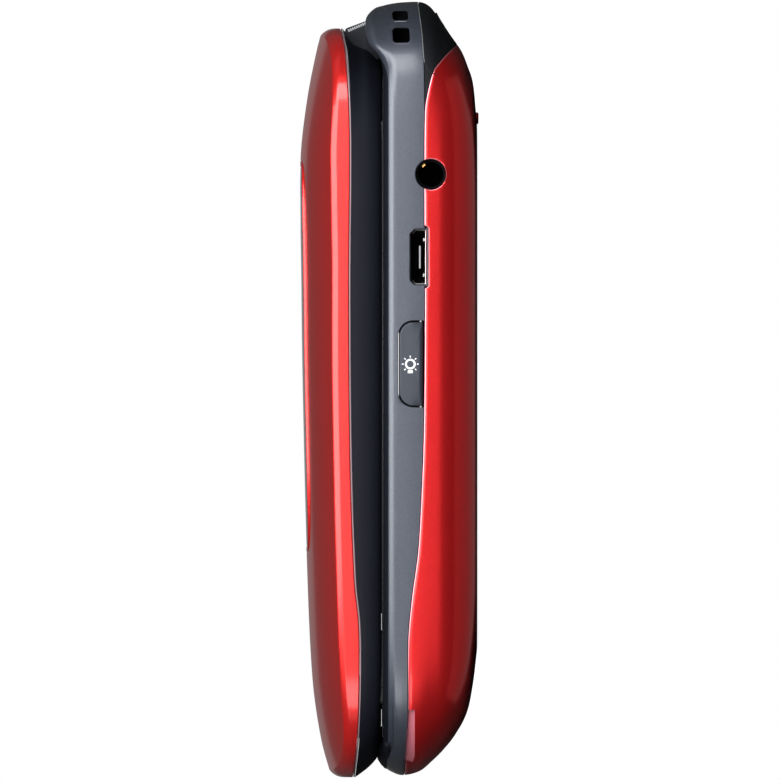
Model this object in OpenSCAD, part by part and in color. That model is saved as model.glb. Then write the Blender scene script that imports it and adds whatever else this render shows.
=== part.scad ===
/* [Overall] */
// Width of the closed phone
body_w = 55; // [54:0.5:56]
// Length of the closed phone, hinge end to foot end
body_l = 110; // [109:0.5:111]
// Wall thickness of the moulded shells
wall = 1.2; // [1.1:0.1:1.3]

/* [Hinge] */
// Distance of the hinge axis from the middle of the phone
hinge_y = 51; // [50.9:0.1:51.1]
// Height of the hinge axis above the table
hinge_z = 12.5; // [12.4:0.1:12.6]
// Outer radius of the knuckle on the lid
knuckle_r = 3.5; // [3.3:0.1:3.5]
// Half length of the knuckle on the lid
knuckle_half = 15; // [14:0.5:15]
// Radius of the two pins that the lid turns on
hinge_pin_r = 1.5; // [1.4:0.05:1.5]

/* [Lid] */
// Height of the lid's inner face
lid_inner_z = 13.8; // [13.8:0.05:13.9]
// Radius of the lid cover's edge
lid_edge_r = 1.2; // [1:0.1:1.4]
// Half width of the outer display window
window_half = 11; // [10:0.5:12]
// Window ends: foot end and hinge end
window_y = [-23.1, 32.6];
// How far the window rim stands above the crown at its sides
rim_stand = 0.3; // [0.2:0.05:0.4]

/* [Keypad] */
// Height of the top of the base
base_top_z = 13.57; // [13.5:0.01:13.6]
// Travel of a key
key_travel = 0.4; // [0.3:0.05:0.4]
// Width of a number key
key_w = 14.2; // [13:0.2:14.4]
// Length of a number key
key_l = 9.6; // [9:0.2:10]
// Distance between number keys, across and along
key_pitch = [15.4, 11.4];
// Height of the top of the keys
key_top_z = 13.45; // [13.35:0.05:13.5]

/* [Sockets and side keys] */
// Centre of the headphone socket on the side: along the phone, and height
jack_at = [30.5, 6.8];
// Diameter of the headphone socket's hole in the shells
jack_hole_d = 4.3; // [4.1:0.1:4.5]
// Bore radius of the headphone socket
jack_bore_r = 1.8; // [1.78:0.01:1.85]
// Ends of the charging socket's opening along the phone
usb_y = [14.86, 22.74];
// Lowest and highest edge of the charging socket's opening
usb_z = [7.5, 9.7];
// Ends of the torch key along the phone
torch_y = [-2.48, 9.85];
// Lowest and highest edge of the torch key
torch_z = [7.75, 11.4];

/* [Battery] */
// Battery size: width, length, thickness
battery_size = [38, 50, 5.2];

/* [Hidden] */
half_w = body_w / 2;
half_l = body_l / 2;
small = 0.03; // gap between two shells that meet
fit = 0.05; // running and assembly clearance
cut = 1; // how far a cutting tool runs past a face
lid_end = 51.35; // hinge end of the lid
lid_foot = -half_l; // foot end of the lid
lid_mid = (lid_end + lid_foot) / 2;
ear_x = knuckle_half + 0.4; // inner side of an ear
back_z = 0.2; // flat back, which the ridge stands proud of
frame_floor_z = 15.6; // inside floor of the lid frame
housing_floor_z = base_top_z - wall;
board_z = [9.9, 10.9]; // main circuit board
chassis_z = [7.1, 7.9]; // floor of the rear housing
fascia_z = [12.0, 13.2];
lid_board_z = [18.3, 19.1];
screw_r = 0.9;
pin_head_r = 2.3;
usb_mid_y = (usb_y[0] + usb_y[1]) / 2;

red = "#c8202a";
grey = "#6b707d";
black = "#1b1d22";
glass = "#2b3038";
steel = "#b9bdc4";
gold = "#c9a24a";
board_green = "#1f5a3a";
rubber = "#101214";
key_grey = "#2f333b";

// Control points are [along, height], joined by smooth curves.
lid_crown = [[-55, 21.0], [-49.6, 22.4], [-41, 23.6], [-24, 24.4], [0, 25.0], [15, 25.2],
    [32.6, 25.3], [41, 24.4], [48.2, 23.05], [51.35, 22.3]];
lid_fall = [[-55, 4.0], [0, 4.2], [27, 4.4], [41, 3.8], [51.35, 2.8]]; // crown fall at full width
lid_seam = [[-55, 17.8], [-49.6, 17.2], [-41, 16.9], [-33, 17.0], [-27, 17.6], [-10, 18.2],
    [14, 18.4], [37, 18.3], [48, 18.9], [51.35, 19.6]];
// Ends of the lid frame from its inner face (0) up to the seam (1)
frame_foot = [[0, -50.5], [0.15, -52], [0.33, -52.9], [0.55, -53.7], [0.75, -54.3], [1, -55]];
frame_end = [[0, 46.6], [0.06, 47.1], [0.17, 47.6], [0.3, 48.2], [0.4, 48.7], [0.6, 49.0],
    [0.8, 49.7], [1, 51.35]];
frame_side = [[0, 1.6], [0.12, 0.9], [0.35, 0.4], [0.7, 0.1], [1, 0]]; // how far the side draws in
// Ends of the base at each height
base_foot = [[0.2, -36.9], [0.7, -41.2], [1.5, -45.4], [3.2, -48.8], [4.9, -51], [6.6, -52.7],
    [8.3, -54.1], [10.9, -54.7], [12.6, -54.1], [13.57, -53.4]];
base_end = [[0.2, 37.4], [0.7, 43.1], [1.5, 45.9], [2.4, 48.1], [4.1, 50.6], [5.56, 52.9],
    [6.25, 54.2], [7, 55.04], [7.85, 55.52], [8.65, 55.65], [9.6, 55.65], [11.5, 55.52], [13.1, 55.24],
    [13.57, 55.1]];
// Height of the battery cover's edge, and of the grey housing's edge, along the phone
cover_curve = [[-55, 10.5], [-46.8, 10], [-36, 9.95], [-29.8, 9.4], [-24.1, 8.6], [-18.4, 8.2],
    [-7, 7.75], [10, 7.6], [38.5, 7.6], [43, 6.95], [46.6, 6.05], [50.8, 4.6], [55, 3]];
hump_curve = [[30, 7.5], [41, 7.62], [46.8, 7.75], [51.7, 8.2], [55, 8.6]];
cover_edge = function (y) curve(y, cover_curve);
housing_edge = function (y) max(cover_edge(y), y < hump_curve[0][0] ? 0 : curve(y, hump_curve));
// Side view of an ear, from the top of the base over the ear to its end
ear_line = [[45.6, 13.0], [46.5, 13.4], [47.2, 13.85], [47.8, 14.55], [48.55, 15.3], [49.3, 15.8],
    [50.2, 16.02], [51.2, 16.07], [52.3, 16.05], [52.75, 15.92], [53.15, 15.68], [53.5, 15.4],
    [53.8, 15.08], [54.1, 14.7], [54.3, 14.3], [54.47, 13.7], [54.6, 13.1]];
back_round = [7, 5.4]; // width and height of the rounding from the sides to the flat back
flank_z = back_z + back_round[1]; // the sides are upright above this
top_round = 0.65; // edge round of the grey housing
ridge = [37.8, 39.4]; // raised rib on the back, ends along the phone
pry_notch_y = [-52.7, -45.2];

quarter = 11; // outline points in each quarter of a shell
sides_power = 3.5; // plan outline: (x / a) ^ sides_power + (y / b) ^ ends_power = 1
ends_power = 12;

// ---- Curves and skins ----

// Slope of a control curve at its point i, from its neighbours
function slope(p, i) = let (a = max(i - 1, 0), b = min(i + 1, len(p) - 1))
    (p[b][1] - p[a][1]) / (p[b][0] - p[a][0]);
function span(t, p, i = 0) = (i >= len(p) - 2 || t < p[i + 1][0]) ? i : span(t, p, i + 1);
// Smooth curve through control points: a cubic between each two, with matching slopes
function curve(t, p) = let (
    c = min(max(t, p[0][0]), p[len(p) - 1][0]), i = span(c, p), h = p[i + 1][0] - p[i][0],
    u = (c - p[i][0]) / h)
    p[i][1] * (1 + 2 * u) * (1 - u) * (1 - u) + p[i + 1][1] * u * u * (3 - 2 * u)
    + h * slope(p, i) * u * (1 - u) * (1 - u) - h * slope(p, i + 1) * u * u * (1 - u);

// Point of the plan outline in a unit square; v runs from the side (0) to the end (1)
function plan_point(v, sx, sy) = let (s = 1 - pow(1 - v, sides_power))
    [sx * pow(max(0, 1 - pow(s, ends_power)), 1 / sides_power), sy * s];
function plan(n) = [for (k = [0 : 4 * n - 1]) let (q = floor(k / n), i = k % n)
    plan_point(q % 2 == 0 ? i / n : 1 - i / n, q == 0 || q == 3 ? 1 : -1, q < 2 ? 1 : -1)];
unit = plan(quarter);

// Ring of the plan outline with half width a between y0 and y1, at the height z_of(point)
function ring(a, y0, y1, z_of, u = unit) = [for (p = u) let (
    x = a * p[0], y = (y0 + y1) / 2 + (y1 - y0) / 2 * p[1]) [x, y, z_of(x, y)]];
function middle(r) = [for (i = [0 : 2]) [for (p = r) p[i]] * [for (p = r) 1] / len(r)];

// Closed solid through a list of equal rings. Its two ends are fans, or it closes on itself.
module skin(rings, loop = false) {
    m = len(rings[0]);
    n = len(rings);
    points = concat([for (r = rings) each r],
        loop ? [] : [middle(rings[0]), middle(rings[n - 1])]);
    walls = [for (j = [0 : loop ? n - 1 : n - 2], k = [0 : m - 1]) let (
        a = j * m + k, b = j * m + (k + 1) % m,
        c = ((j + 1) % n) * m + k, d = ((j + 1) % n) * m + (k + 1) % m) each [[a, d, b], [a, c, d]]];
    fans = loop ? [] : [for (k = [0 : m - 1]) each [[n * m, k, (k + 1) % m],
        [n * m + 1, (n - 1) * m + (k + 1) % m, (n - 1) * m + k]]];
    polyhedron(points, concat(walls, fans));
}

// Carries a drawing of [along, height] across the phone from x0 to x1
module across(x0, x1) {
    translate([x0, 0, 0]) rotate([90, 0, 90]) linear_extrude(x1 - x0) children();
}
module both_sides() {
    children();
    mirror([1, 0, 0]) children();
}
// Flat rectangle with round corners, its middle at the origin
module rounded(w, l, r) {
    if (w > 2 * r) square([w - 2 * r, l], center = true);
    if (l > 2 * r) square([w, l - 2 * r], center = true);
    for (x = [-1, 1], y = [-1, 1])
        translate([x * (w / 2 - r), y * (l / 2 - r)]) circle(r, $fn = 32);
}
module slab(x, y, z, r) { // x, y and z are [low, high]
    translate([(x[0] + x[1]) / 2, (y[0] + y[1]) / 2, z[0]])
        linear_extrude(z[1] - z[0]) rounded(x[1] - x[0], y[1] - y[0], r);
}
module block(x, y, z) {
    translate([x[0], y[0], z[0]]) cube([x[1] - x[0], y[1] - y[0], z[1] - z[0]]);
}
module rod(r, x0, x1, y = hinge_y, z = hinge_z) {
    translate([x0, y, z]) rotate([0, 90, 0]) cylinder(r = r, h = x1 - x0, $fn = 48);
}
module post(r, x, y, z) {
    translate([x, y, z[0]]) cylinder(r = r, h = z[1] - z[0], $fn = 32);
}

// ---- Lid ----

crown_z = function (x, y) curve(y, lid_crown) - curve(y, lid_fall) * pow(x / half_w, 2);
function lid_seam_z(y) = curve(y, lid_seam);
function lid_ring(inset, z_of) = ring(half_w - inset, lid_foot + inset, lid_end - inset, z_of);
function lid_part_ring(f, inset, z_of) = ring((half_w - inset) * f,
    lid_mid + (lid_foot + inset - lid_mid) * f, lid_mid + (lid_end - inset - lid_mid) * f, z_of);

// Window surface: flatter than the crown, so that its sides stand proud of it
window_fall = 4.3 * (1 - rim_stand / (4.3 * pow(window_half / half_w, 2)));
function window_z(x, y) = curve(y, lid_crown) - window_fall * pow(x / half_w, 2);
window_mid = (window_y[0] + window_y[1]) / 2;
window_power = 6; // the window's outline is a squarer plan than the shells'
function window_ring(inset, dz) = [for (k = [0 : 4 * quarter - 1]) let (
    t = 360 * k / (4 * quarter), c = cos(t), s = sin(t),
    r = pow(pow(abs(c), window_power) + pow(abs(s), window_power), -1 / window_power),
    x = (window_half - inset) * r * c,
    y = window_mid + ((window_y[1] - window_y[0]) / 2 - inset) * r * s) [x, y, window_z(x, y) + dz]];
module window_hole(inset) {
    linear_extrude(40) polygon([for (p = window_ring(inset, 0)) [p[0], p[1]]]);
}

module lid_cover() color(red) {
    r = lid_edge_r;
    difference() {
        skin(concat(
            [for (f = [0.1, 0.45, 0.8]) lid_part_ring(f, wall, function (x, y) crown_z(x, y) - wall)],
            [lid_ring(wall, function (x, y) crown_z(x, y) - wall - 0.3)],
            [for (inset = [wall, 0]) lid_ring(inset, function (x, y) lid_seam_z(y) + small)],
            [for (t = [0, 30, 60]) lid_ring(r * (1 - cos(t)),
                function (x, y) crown_z(x, y) - r * (1 - sin(t)))],
            [for (f = [0.95, 0.85, 0.7, 0.52, 0.35, 0.2, 0.07]) lid_part_ring(f, 0, crown_z)]));
        window_hole(-fit);
    }
}

function frame_ring(f, inset = 0) = ring(half_w - inset - curve(f, frame_side),
    curve(f, frame_foot) + inset, curve(f, frame_end) - inset,
    function (x, y) lid_inner_z + f * (lid_seam_z(y) - lid_inner_z));

screw_at = [18, 41.5]; // the lid's two screws, beside the hinge
slot_y = -45; // earpiece slot
lens_x = 22.6;
lens_y = [-49, 37];
lens_z = [13.85, 14.75];
view_x = 19; // opening behind the lens
view_y = [-34, 22];
bumper_x = [23.5, 25.1];
bumper_y = [-44.5, -35.2];

module lid_frame() color(black) difference() {
    union() {
        skin(concat(
            [for (f = [0, 0.06, 0.17, 0.35, 0.6, 0.8, 1]) frame_ring(f)],
            [frame_ring(1, wall), frame_ring(0.6, wall + 0.1)],
            [ring(half_w - 2.8, -51.4, 46.1, function (x, y) frame_floor_z)]));
        // Neck that carries the knuckle
        across(-knuckle_half, knuckle_half) {
            polygon([[45.4, 14.3], [47.1, 14.2], [hinge_y - knuckle_r + 0.25, hinge_z + 1],
                [hinge_y + 1.4, 15.75], [51.2, 18.95], [49.8, 18.95], [48, 17.2], [45.4, 15.9]]);
            translate([hinge_y, hinge_z]) circle(knuckle_r, $fn = 64);
        }
        both_sides() post(3, screw_at[0], screw_at[1], [frame_floor_z - 0.5, 17.6]);
    }
    rod(knuckle_r - 0.75, -knuckle_half - cut, 11.5);
    rod(hinge_pin_r + fit, 11, knuckle_half + cut);
    slab([-lens_x - fit, lens_x + fit], [lens_y[0] - fit, lens_y[1] + fit],
        [lid_inner_z - cut, lens_z[1] + fit], 4 + fit);
    slab([-view_x, view_x], view_y, [lid_inner_z, frame_floor_z + cut], 1);
    slab([-5.5, 5.5], [slot_y - 0.9, slot_y + 0.9], [lid_inner_z, frame_floor_z + cut], 0.85);
    both_sides() {
        slab(bumper_x, bumper_y, [lid_inner_z - cut, lid_inner_z + 0.4], 0.75);
        post(2.05, screw_at[0], screw_at[1], [lid_inner_z - cut, 15.55]);
        post(screw_r + fit, screw_at[0], screw_at[1], [14, 18.6]);
    }
}

module outer_display_bezel() color(red)
    skin([window_ring(0, -1.1), window_ring(0, 0), window_ring(0.9, 0.02), window_ring(0.9, -1.1)],
        loop = true);

camera_y = 25.5;
camera_r = 3.2;
module outer_display_lens() color(glass) difference() {
    skin([window_ring(0.95, -1.4), window_ring(0.95, -0.08), window_ring(4, -0.02),
        window_ring(8, -0.02)]);
    post(camera_r + fit, 0, camera_y, [20, 27]);
}
module outer_display_module() color(black)
    slab([-9, 9], [-19, 9], [20.6, 22.6], 0.6);
module camera_module() color(black) {
    block([-4.2, 4.2], [camera_y - 4.2, camera_y + 4.2], [lid_board_z[1], 21.8]);
    post(2.6, 0, camera_y, [21.6, 24.2]);
    post(1.6, 0, camera_y, [24.1, 24.7]);
}
module camera_ring() color(steel) difference() {
    post(camera_r, 0, camera_y, [23.4, 25.28]);
    post(2.65, 0, camera_y, [23, 24.9]);
    translate([0, camera_y, 24.8]) cylinder(r1 = 1.9, r2 = 2.6, h = 0.7, $fn = 48);
}
module lid_circuit_board() color(board_green) difference() {
    slab([-20, 20], [-40, 36], lid_board_z, 3);
    post(1.3, 15, -36, [18, 20]);
}
module main_display_module() color(steel) {
    slab([-20.6, 20.6], [-37, 26], [frame_floor_z, 17.6], 0.8);
    block([-12, 12], [25.8, 31], [16.2, 16.5]);
    for (y = [-30, 20]) block([-3, 3], [y - 2, y + 2], [17.6, lid_board_z[0]]);
    block([-6, 6], [-16, 4], [17.6, lid_board_z[0]]);
}
module main_display_lens() color(glass) difference() {
    slab([-lens_x, lens_x], lens_y, lens_z, 4);
    slab([-5.5, 5.5], [slot_y - 0.9, slot_y + 0.9], [13, 16], 0.85);
}
module earpiece_speaker() color(black) {
    slab([-7.5, 7.5], [slot_y - 4.4, slot_y + 4.4], [frame_floor_z, 18.2], 1.5);
}
module earpiece_mesh() color(steel)
    slab([-5.4, 5.4], [slot_y - 0.8, slot_y + 0.8], [14.1, 14.5], 0.75);
module lid_bumpers() color(rubber)
    both_sides() slab([bumper_x[0] + fit, bumper_x[1] - fit], [bumper_y[0] + fit, bumper_y[1] - fit],
        [base_top_z + 0.03, lid_inner_z + 0.4], 0.7);
module lid_screws() color(steel) both_sides() difference() {
    union() {
        post(1.8, screw_at[0], screw_at[1], [14.75, 15.5]);
        post(screw_r, screw_at[0], screw_at[1], [15.4, 18.4]);
    }
    for (a = [0, 90]) translate([screw_at[0], screw_at[1], 14.9]) rotate(a)
        cube([2, 0.4, 0.4], center = true);
}
module lid_screw_plugs() color(rubber)
    both_sides() post(2, screw_at[0], screw_at[1], [lid_inner_z + 0.03, 14.65]);

cartridge_x = [-knuckle_half + 0.1, 2];
module hinge_cartridge() color(steel) difference() {
    union() {
        rod(knuckle_r - 0.8, cartridge_x[0], cartridge_x[1]);
        rod(1.6, cartridge_x[1] - 0.1, cartridge_x[1] + 1.2);
    }
    rod(hinge_pin_r + fit, cartridge_x[0] - cut, cartridge_x[0] + 5);
}
module display_flex_cable() color(gold) difference() { // coiled in the knuckle
    rod(2.6, 4, 10.5);
    rod(1.1, 3, 11);
    block([3, 11.5], [hinge_y - 0.2, hinge_y + 0.2], [hinge_z, hinge_z + 4]);
}
module hinge_pins() color(steel) {
    rod(hinge_pin_r, -ear_x - 2.4, cartridge_x[0] + 4.8);
    rod(hinge_pin_r, 12, ear_x + 2.4);
    both_sides() rod(pin_head_r, ear_x + 1.2, ear_x + 2.5);
}

// ---- Base ----

function side_at(z) = z >= flank_z ? half_w
    : half_w - back_round[0] * (1 - sqrt(max(0, 1 - pow((flank_z - z) / back_round[1], 2))));
// Point of the base's outer face for plan point p at height z, drawn in by an inset
function base_point(p, z, inset) = let (y0 = curve(z, base_foot) + inset, y1 = curve(z, base_end) - inset)
    [(side_at(z) - inset) * p[0], (y0 + y1) / 2 + (y1 - y0) / 2 * p[1], z];
// Ring of the base's outer face, where z_of gives the height from the place along the phone
function base_ring(z_of, inset = 0) = [for (p = unit) base_point(p, z_of(p[1] * half_l), inset)];

key_rows_y = -3.5; // centre of the first row of number keys
pad_x = 23.6;
pad_y = [-44, 35];
nav_y = 20.5;
nav_r = 9;
ok_r = 3.8;
side_keys_x = 16.8;
boss_at = [[21.6, 40.5], [17, -47.4]];
led_at = [-20.4, 10.4]; // across and height
eyelet_x = 18.3; // the eyelets are cut this deep
mic_y = -49;

module usb_opening() {
    y = usb_y;
    z = usb_z;
    across(23, half_w + cut) polygon([[y[0], z[0]], [y[1], z[0]], [y[1], z[1] - 0.7],
        [y[1] - 0.7, z[1]], [y[0] + 0.7, z[1]], [y[0], z[1] - 0.7]]);
}
module torch_shape(grow) {
    y = [torch_y[0] - grow, torch_y[1] + grow];
    z = [torch_z[0] - grow, torch_z[1] + grow];
    r = 2.1;
    intersection() {
        translate([y[0], z[0]]) square([y[1] - y[0], z[1] - z[0]]);
        translate([(y[0] + y[1]) / 2, z[1] - 5]) rounded(y[1] - y[0], 10, r);
    }
}
module knuckle_space() {
    rod(knuckle_r + 0.35, -ear_x, ear_x);
    block([-ear_x, ear_x], [hinge_y, half_l + cut], [7.5, 17]);
    block([-ear_x, ear_x], [47.6, half_l + cut], [hinge_z, 17]);
}

module ears() both_sides() intersection() {
    across(ear_x, half_w) polygon(concat([[45.6, hinge_z]], ear_line, [[54.3, hinge_z]]));
    linear_extrude(30) polygon([for (p = unit) [(half_w - 0.25) * p[0], (half_l + 0.05) * p[1]]]);
}

module front_housing() color(grey) difference() {
    union() {
        difference() {
            union() {
                skin(concat(
                    [base_ring(function (y) housing_floor_z, wall + 0.4)],
                    [for (inset = [wall, 0]) base_ring(function (y) housing_edge(y) + small, inset)],
                    [for (f = [0.35, 0.7]) base_ring(function (y) let (e = housing_edge(y))
                        e + f * (base_top_z - top_round - e))],
                    [for (t = [0, 30, 60, 90]) base_ring(
                        function (y) base_top_z - top_round * (1 - sin(t)),
                        top_round * (1 - cos(t)) * 0.9)]));
                ears();
            }
            knuckle_space();
        }
        // Trough behind the knuckle
        across(-ear_x, ear_x) difference() {
            translate([hinge_y, hinge_z]) circle(knuckle_r + 1.35, $fn = 64);
            translate([hinge_y, hinge_z]) circle(knuckle_r + 0.35, $fn = 64);
            translate([hinge_y - 0.4, 0]) square([20, 40]);
            translate([30, housing_floor_z + 0.3]) square([40, 40]);
        }
        both_sides() for (b = boss_at) post(2.2, b[0], b[1], [chassis_z[1], housing_floor_z + 0.3]);
    }
    slab([-pad_x - 0.1, pad_x + 0.1], [pad_y[0] - 0.1, pad_y[1] + 0.1], [10, 15], 5.1);
    rod(jack_hole_d / 2, 22, half_w + cut, jack_at[0], jack_at[1]);
    usb_opening();
    across(24, half_w + cut) torch_shape(0.2);
    across(-half_w - cut, -24) translate([3.5, 9.8]) rounded(21.4, 3.4, 1.7);
    post(0.6, 0, mic_y, [12, 14]);
    both_sides() for (b = boss_at) post(screw_r + fit, b[0], b[1], [7, 12]);
    both_sides() {
        rod(hinge_pin_r + fit, ear_x - cut, ear_x + 2.5);
        rod(pin_head_r + fit, ear_x + 1.15, ear_x + 2.6);
    }
    // Strap eyelets, joined behind their bar
    block([eyelet_x, 30], [52.3, 53.6], [10.0, 12.3]);
    block([eyelet_x, 30], [49.1, 51.2], [9.8, 12.2]);
    block([eyelet_x, eyelet_x + 1.2], [50, 53], [10.2, 12]);
    // Torch
    translate([led_at[0], 47, led_at[1]]) rotate([-90, 0, 0]) cylinder(r = 1.75, h = 10, $fn = 32);
    block([led_at[0] - 1.8, led_at[0] + 1.8], [45, 47.6], [8.2, 11.8]);
}

// Metal blocks under the ears, which hold the lower half of the pins
module hinge_brackets() color(steel) both_sides() difference() {
    block([ear_x + 0.1, eyelet_x - 0.1], [47.8, 52.3], [8.1, housing_floor_z - 0.07]);
    rod(hinge_pin_r + fit, ear_x - cut, ear_x + 4);
    rod(pin_head_r + fit, ear_x + 1.15, ear_x + 4);
}

function key_at(i) = [(i % 3 - 1) * key_pitch[0], key_rows_y - floor(i / 3) * key_pitch[1]];
// All the keypad's keys as flat shapes, for the keys and for their holes
module number_shape(i, grow = 0) translate(key_at(i)) rounded(key_w + 2 * grow, key_l + 2 * grow, 2.4 + grow);
module side_shape(sx, y, l, grow = 0) translate([sx * side_keys_x, y]) rounded(11.6 + 2 * grow, l + 2 * grow, 2.6 + grow);

soft_y = 28;
call_y = 13.5;
module call_shape(sx, grow = 0) side_shape(sx, call_y, 10, grow);
module soft_shape(sx, grow = 0) side_shape(sx, soft_y, 9, grow);

module keypad_fascia() color(black) difference() {
    union() {
        slab([-pad_x, pad_x], pad_y, fascia_z, 5);
        slab([-pad_x - 1, pad_x + 1], [pad_y[0] - 1, pad_y[1] + 1],
            [fascia_z[0], housing_floor_z - small], 5.5);
    }
    translate([0, 0, fascia_z[0] - cut]) linear_extrude(4) {
        for (i = [0 : 11]) number_shape(i, 0.2);
        for (sx = [-1, 1]) {
            call_shape(sx, 0.2);
            soft_shape(sx, 0.2);
        }
        translate([0, nav_y]) circle(nav_r + 0.2, $fn = 64);
    }
}

key_flange_z = [11.55, 11.95];
key_foot_z = 11.45;
// A key: cap, a flange that holds it under the fascia, and a foot over its dome
module key_solid(at) {
    translate([0, 0, key_flange_z[0]]) linear_extrude(key_top_z - 0.35 - key_flange_z[0]) children(0);
    translate([0, 0, key_top_z - 0.36]) linear_extrude(0.36) children(1);
    translate([0, 0, key_flange_z[0]]) linear_extrude(key_flange_z[1] - key_flange_z[0]) children(2);
    post(1.3, at[0], at[1], [key_foot_z, key_flange_z[0] + 0.1]);
}
module number_key(i) color(key_grey) key_solid(key_at(i)) {
    number_shape(i);
    number_shape(i, -0.35);
    number_shape(i, 0.45);
}
module call_key() color("#2c7a46") key_solid([-side_keys_x, call_y]) {
    call_shape(-1);
    call_shape(-1, -0.35);
    call_shape(-1, 0.45);
}
module end_key() color("#a3262b") key_solid([side_keys_x, call_y]) {
    call_shape(1);
    call_shape(1, -0.35);
    call_shape(1, 0.45);
}
module soft_key_left() color(key_grey) key_solid([-side_keys_x, soft_y]) {
    soft_shape(-1);
    soft_shape(-1, -0.35);
    soft_shape(-1, 0.45);
}
module soft_key_right() color(key_grey) key_solid([side_keys_x, soft_y]) {
    soft_shape(1);
    soft_shape(1, -0.35);
    soft_shape(1, 0.45);
}
module navigation_ring() color(steel) difference() {
    union() {
        post(nav_r, 0, nav_y, [key_flange_z[0], key_top_z - 0.3]);
        post(nav_r - 0.35, 0, nav_y, [key_top_z - 0.4, key_top_z]);
        post(nav_r + 0.5, 0, nav_y, key_flange_z);
        for (a = [0 : 90 : 270])
            post(1, 6.2 * cos(a), nav_y + 6.2 * sin(a), [key_foot_z, key_flange_z[0] + 0.1]);
    }
    post(ok_r + 0.2, 0, nav_y, [11, 14]);
    post(ok_r + 0.7, 0, nav_y, [11, key_flange_z[1] + key_travel]); // room for the OK key's flange
}
module ok_key() color(key_grey) {
    post(ok_r, 0, nav_y, [key_flange_z[0], key_top_z - 0.2]);
    post(ok_r - 0.3, 0, nav_y, [key_top_z - 0.3, key_top_z]);
    post(ok_r + 0.5, 0, nav_y, [key_flange_z[0], key_flange_z[1] - 0.1]);
    post(1.3, 0, nav_y, [key_foot_z, key_flange_z[0] + 0.1]);
}
module torch_key() color(black) {
    across(25.7, half_w - 0.15) torch_shape(0);
    across(half_w - 0.2, half_w + 0.05) torch_shape(-0.25);
    block([25.2, 25.75], [torch_y[0] - 0.5, torch_y[1] + 0.5], [torch_z[0] + 0.4, torch_z[1] + 0.5]);
    rod(0.8, 24.6, 25.6, (torch_y[0] + torch_y[1]) / 2, 9.6);
}
module volume_key() color(black) translate([0, 3.5, 9.8]) {
    across(-half_w - 0.05, -25.6) rounded(21, 3, 1.5);
    across(-25.65, -25.1) rounded(22, 3.6, 1.5);
    for (y = [-6, 6]) translate([-25.3, y, 0]) rotate([0, 90, 0]) cylinder(r = 0.7, h = 0.8, $fn = 24);
}

module keypad_membrane() color("#c9c4b0") {
    slab([-22.4, 22.4], [-44, 34], [board_z[1], board_z[1] + 0.08], 3);
}
module main_circuit_board() color(board_green) difference() {
    slab([-22.8, 22.8], [-50.6, 45], board_z, 3);
    both_sides() for (b = boss_at) post(2.4, b[0], b[1], [9, 12]);
    block([22.2, 24], [torch_y[0] - 1, torch_y[1] + 1], [9, 12]);
}
module shield_cans() color(steel) {
    slab([-19, 4], [-8, 9], [8.3, board_z[0]], 0.8);
    slab([-19, -2], [16, 44], [8.3, board_z[0]], 0.8);
}

chassis_x = half_w - wall - 0.3;
chassis_y = -1.8; // middle of the floor, which ends at 48
bay_x = battery_size[0] / 2;
battery_y = [-38.5, -38.5 + battery_size[1]];
battery_z = [1.7, 1.7 + battery_size[2]];
speaker_at = [-9, 30.5];
speaker_r = 7.5;

module rear_housing() color(black) difference() {
    union() {
        // Floor, with walls round the battery bay and the loudspeaker
        translate([0, 0, chassis_z[0]]) linear_extrude(chassis_z[1] - chassis_z[0])
            polygon([for (p = unit) [chassis_x * p[0], chassis_y + (48 - chassis_y) * p[1]]]);
        slab([-bay_x - 1.3, bay_x + 1.3], [battery_y[0] - 1.3, battery_y[1] + 4.4], [1.5, 7.2], 2);
        post(speaker_r + 1.1, speaker_at[0], speaker_at[1], [1.5, 7.2]);
        for (p = [[-21, -20], [21, -20], [-21, 20], [21, -33], [-21, -38], [12, 42]])
            post(1.5, p[0], p[1], [chassis_z[1] - 0.1, board_z[0]]);
    }
    slab([-bay_x - 0.2, bay_x + 0.2], [battery_y[0] - 0.2, battery_y[1] + 0.2], [1, chassis_z[0] - 0.05], 1);
    post(speaker_r + 0.1, speaker_at[0], speaker_at[1], [1, 5.1]);
    block([-7, 7], [battery_y[1], battery_y[1] + 3.2], [1, 9]); // battery contacts
    block([-14.2, 14.2], [-37.2, -15.8], [6, 9]); // SIM holder
    block([12, 30], [jack_at[0] - 3.2, jack_at[0] + 3.2], [3, 9]);
    block([19.8, 30], [usb_y[0] - 0.4, usb_y[1] + 0.4], [6.9, 9]);
    block([25, 30], [torch_y[0] - 1, torch_y[1] + 1], [6.9, 9]);
    block([-30, -24.6], [-8, 15], [6.9, 9]);
    both_sides() for (b = boss_at) post(screw_r + fit, b[0], b[1], [6, 9]);
}

module battery() color("#3b4a63") slab([-bay_x, bay_x], battery_y, battery_z, 0.8);
module battery_contacts() color(gold) {
    block([-6.5, 6.5], [battery_y[1] + 0.6, battery_y[1] + 3], [2.5, board_z[0]]);
    for (x = [-4, 0, 4]) block([x - 0.6, x + 0.6], [battery_y[1] + 0.05, battery_y[1] + 0.7], [3, 5]);
}
module sim_holder() color(steel) difference() {
    block([-14, 14], [-37, -16], [7.15, board_z[0]]);
    block([-12.8, 12.8], [-38, -17], [7.6, 8.5]);
}
module micro_usb_port() color(steel) {
    y = [usb_mid_y - 3.75, usb_mid_y + 3.75];
    difference() {
        block([20.2, 26.1], [y[0], y[1]], [7.35, board_z[0]]);
        block([21.2, 27], [y[0] + 0.3, y[1] - 0.3], [7.65, 9.45]);
    }
    block([21, 25.6], [usb_mid_y - 1.9, usb_mid_y + 1.9], [8.3, 8.8]);
}
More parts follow.
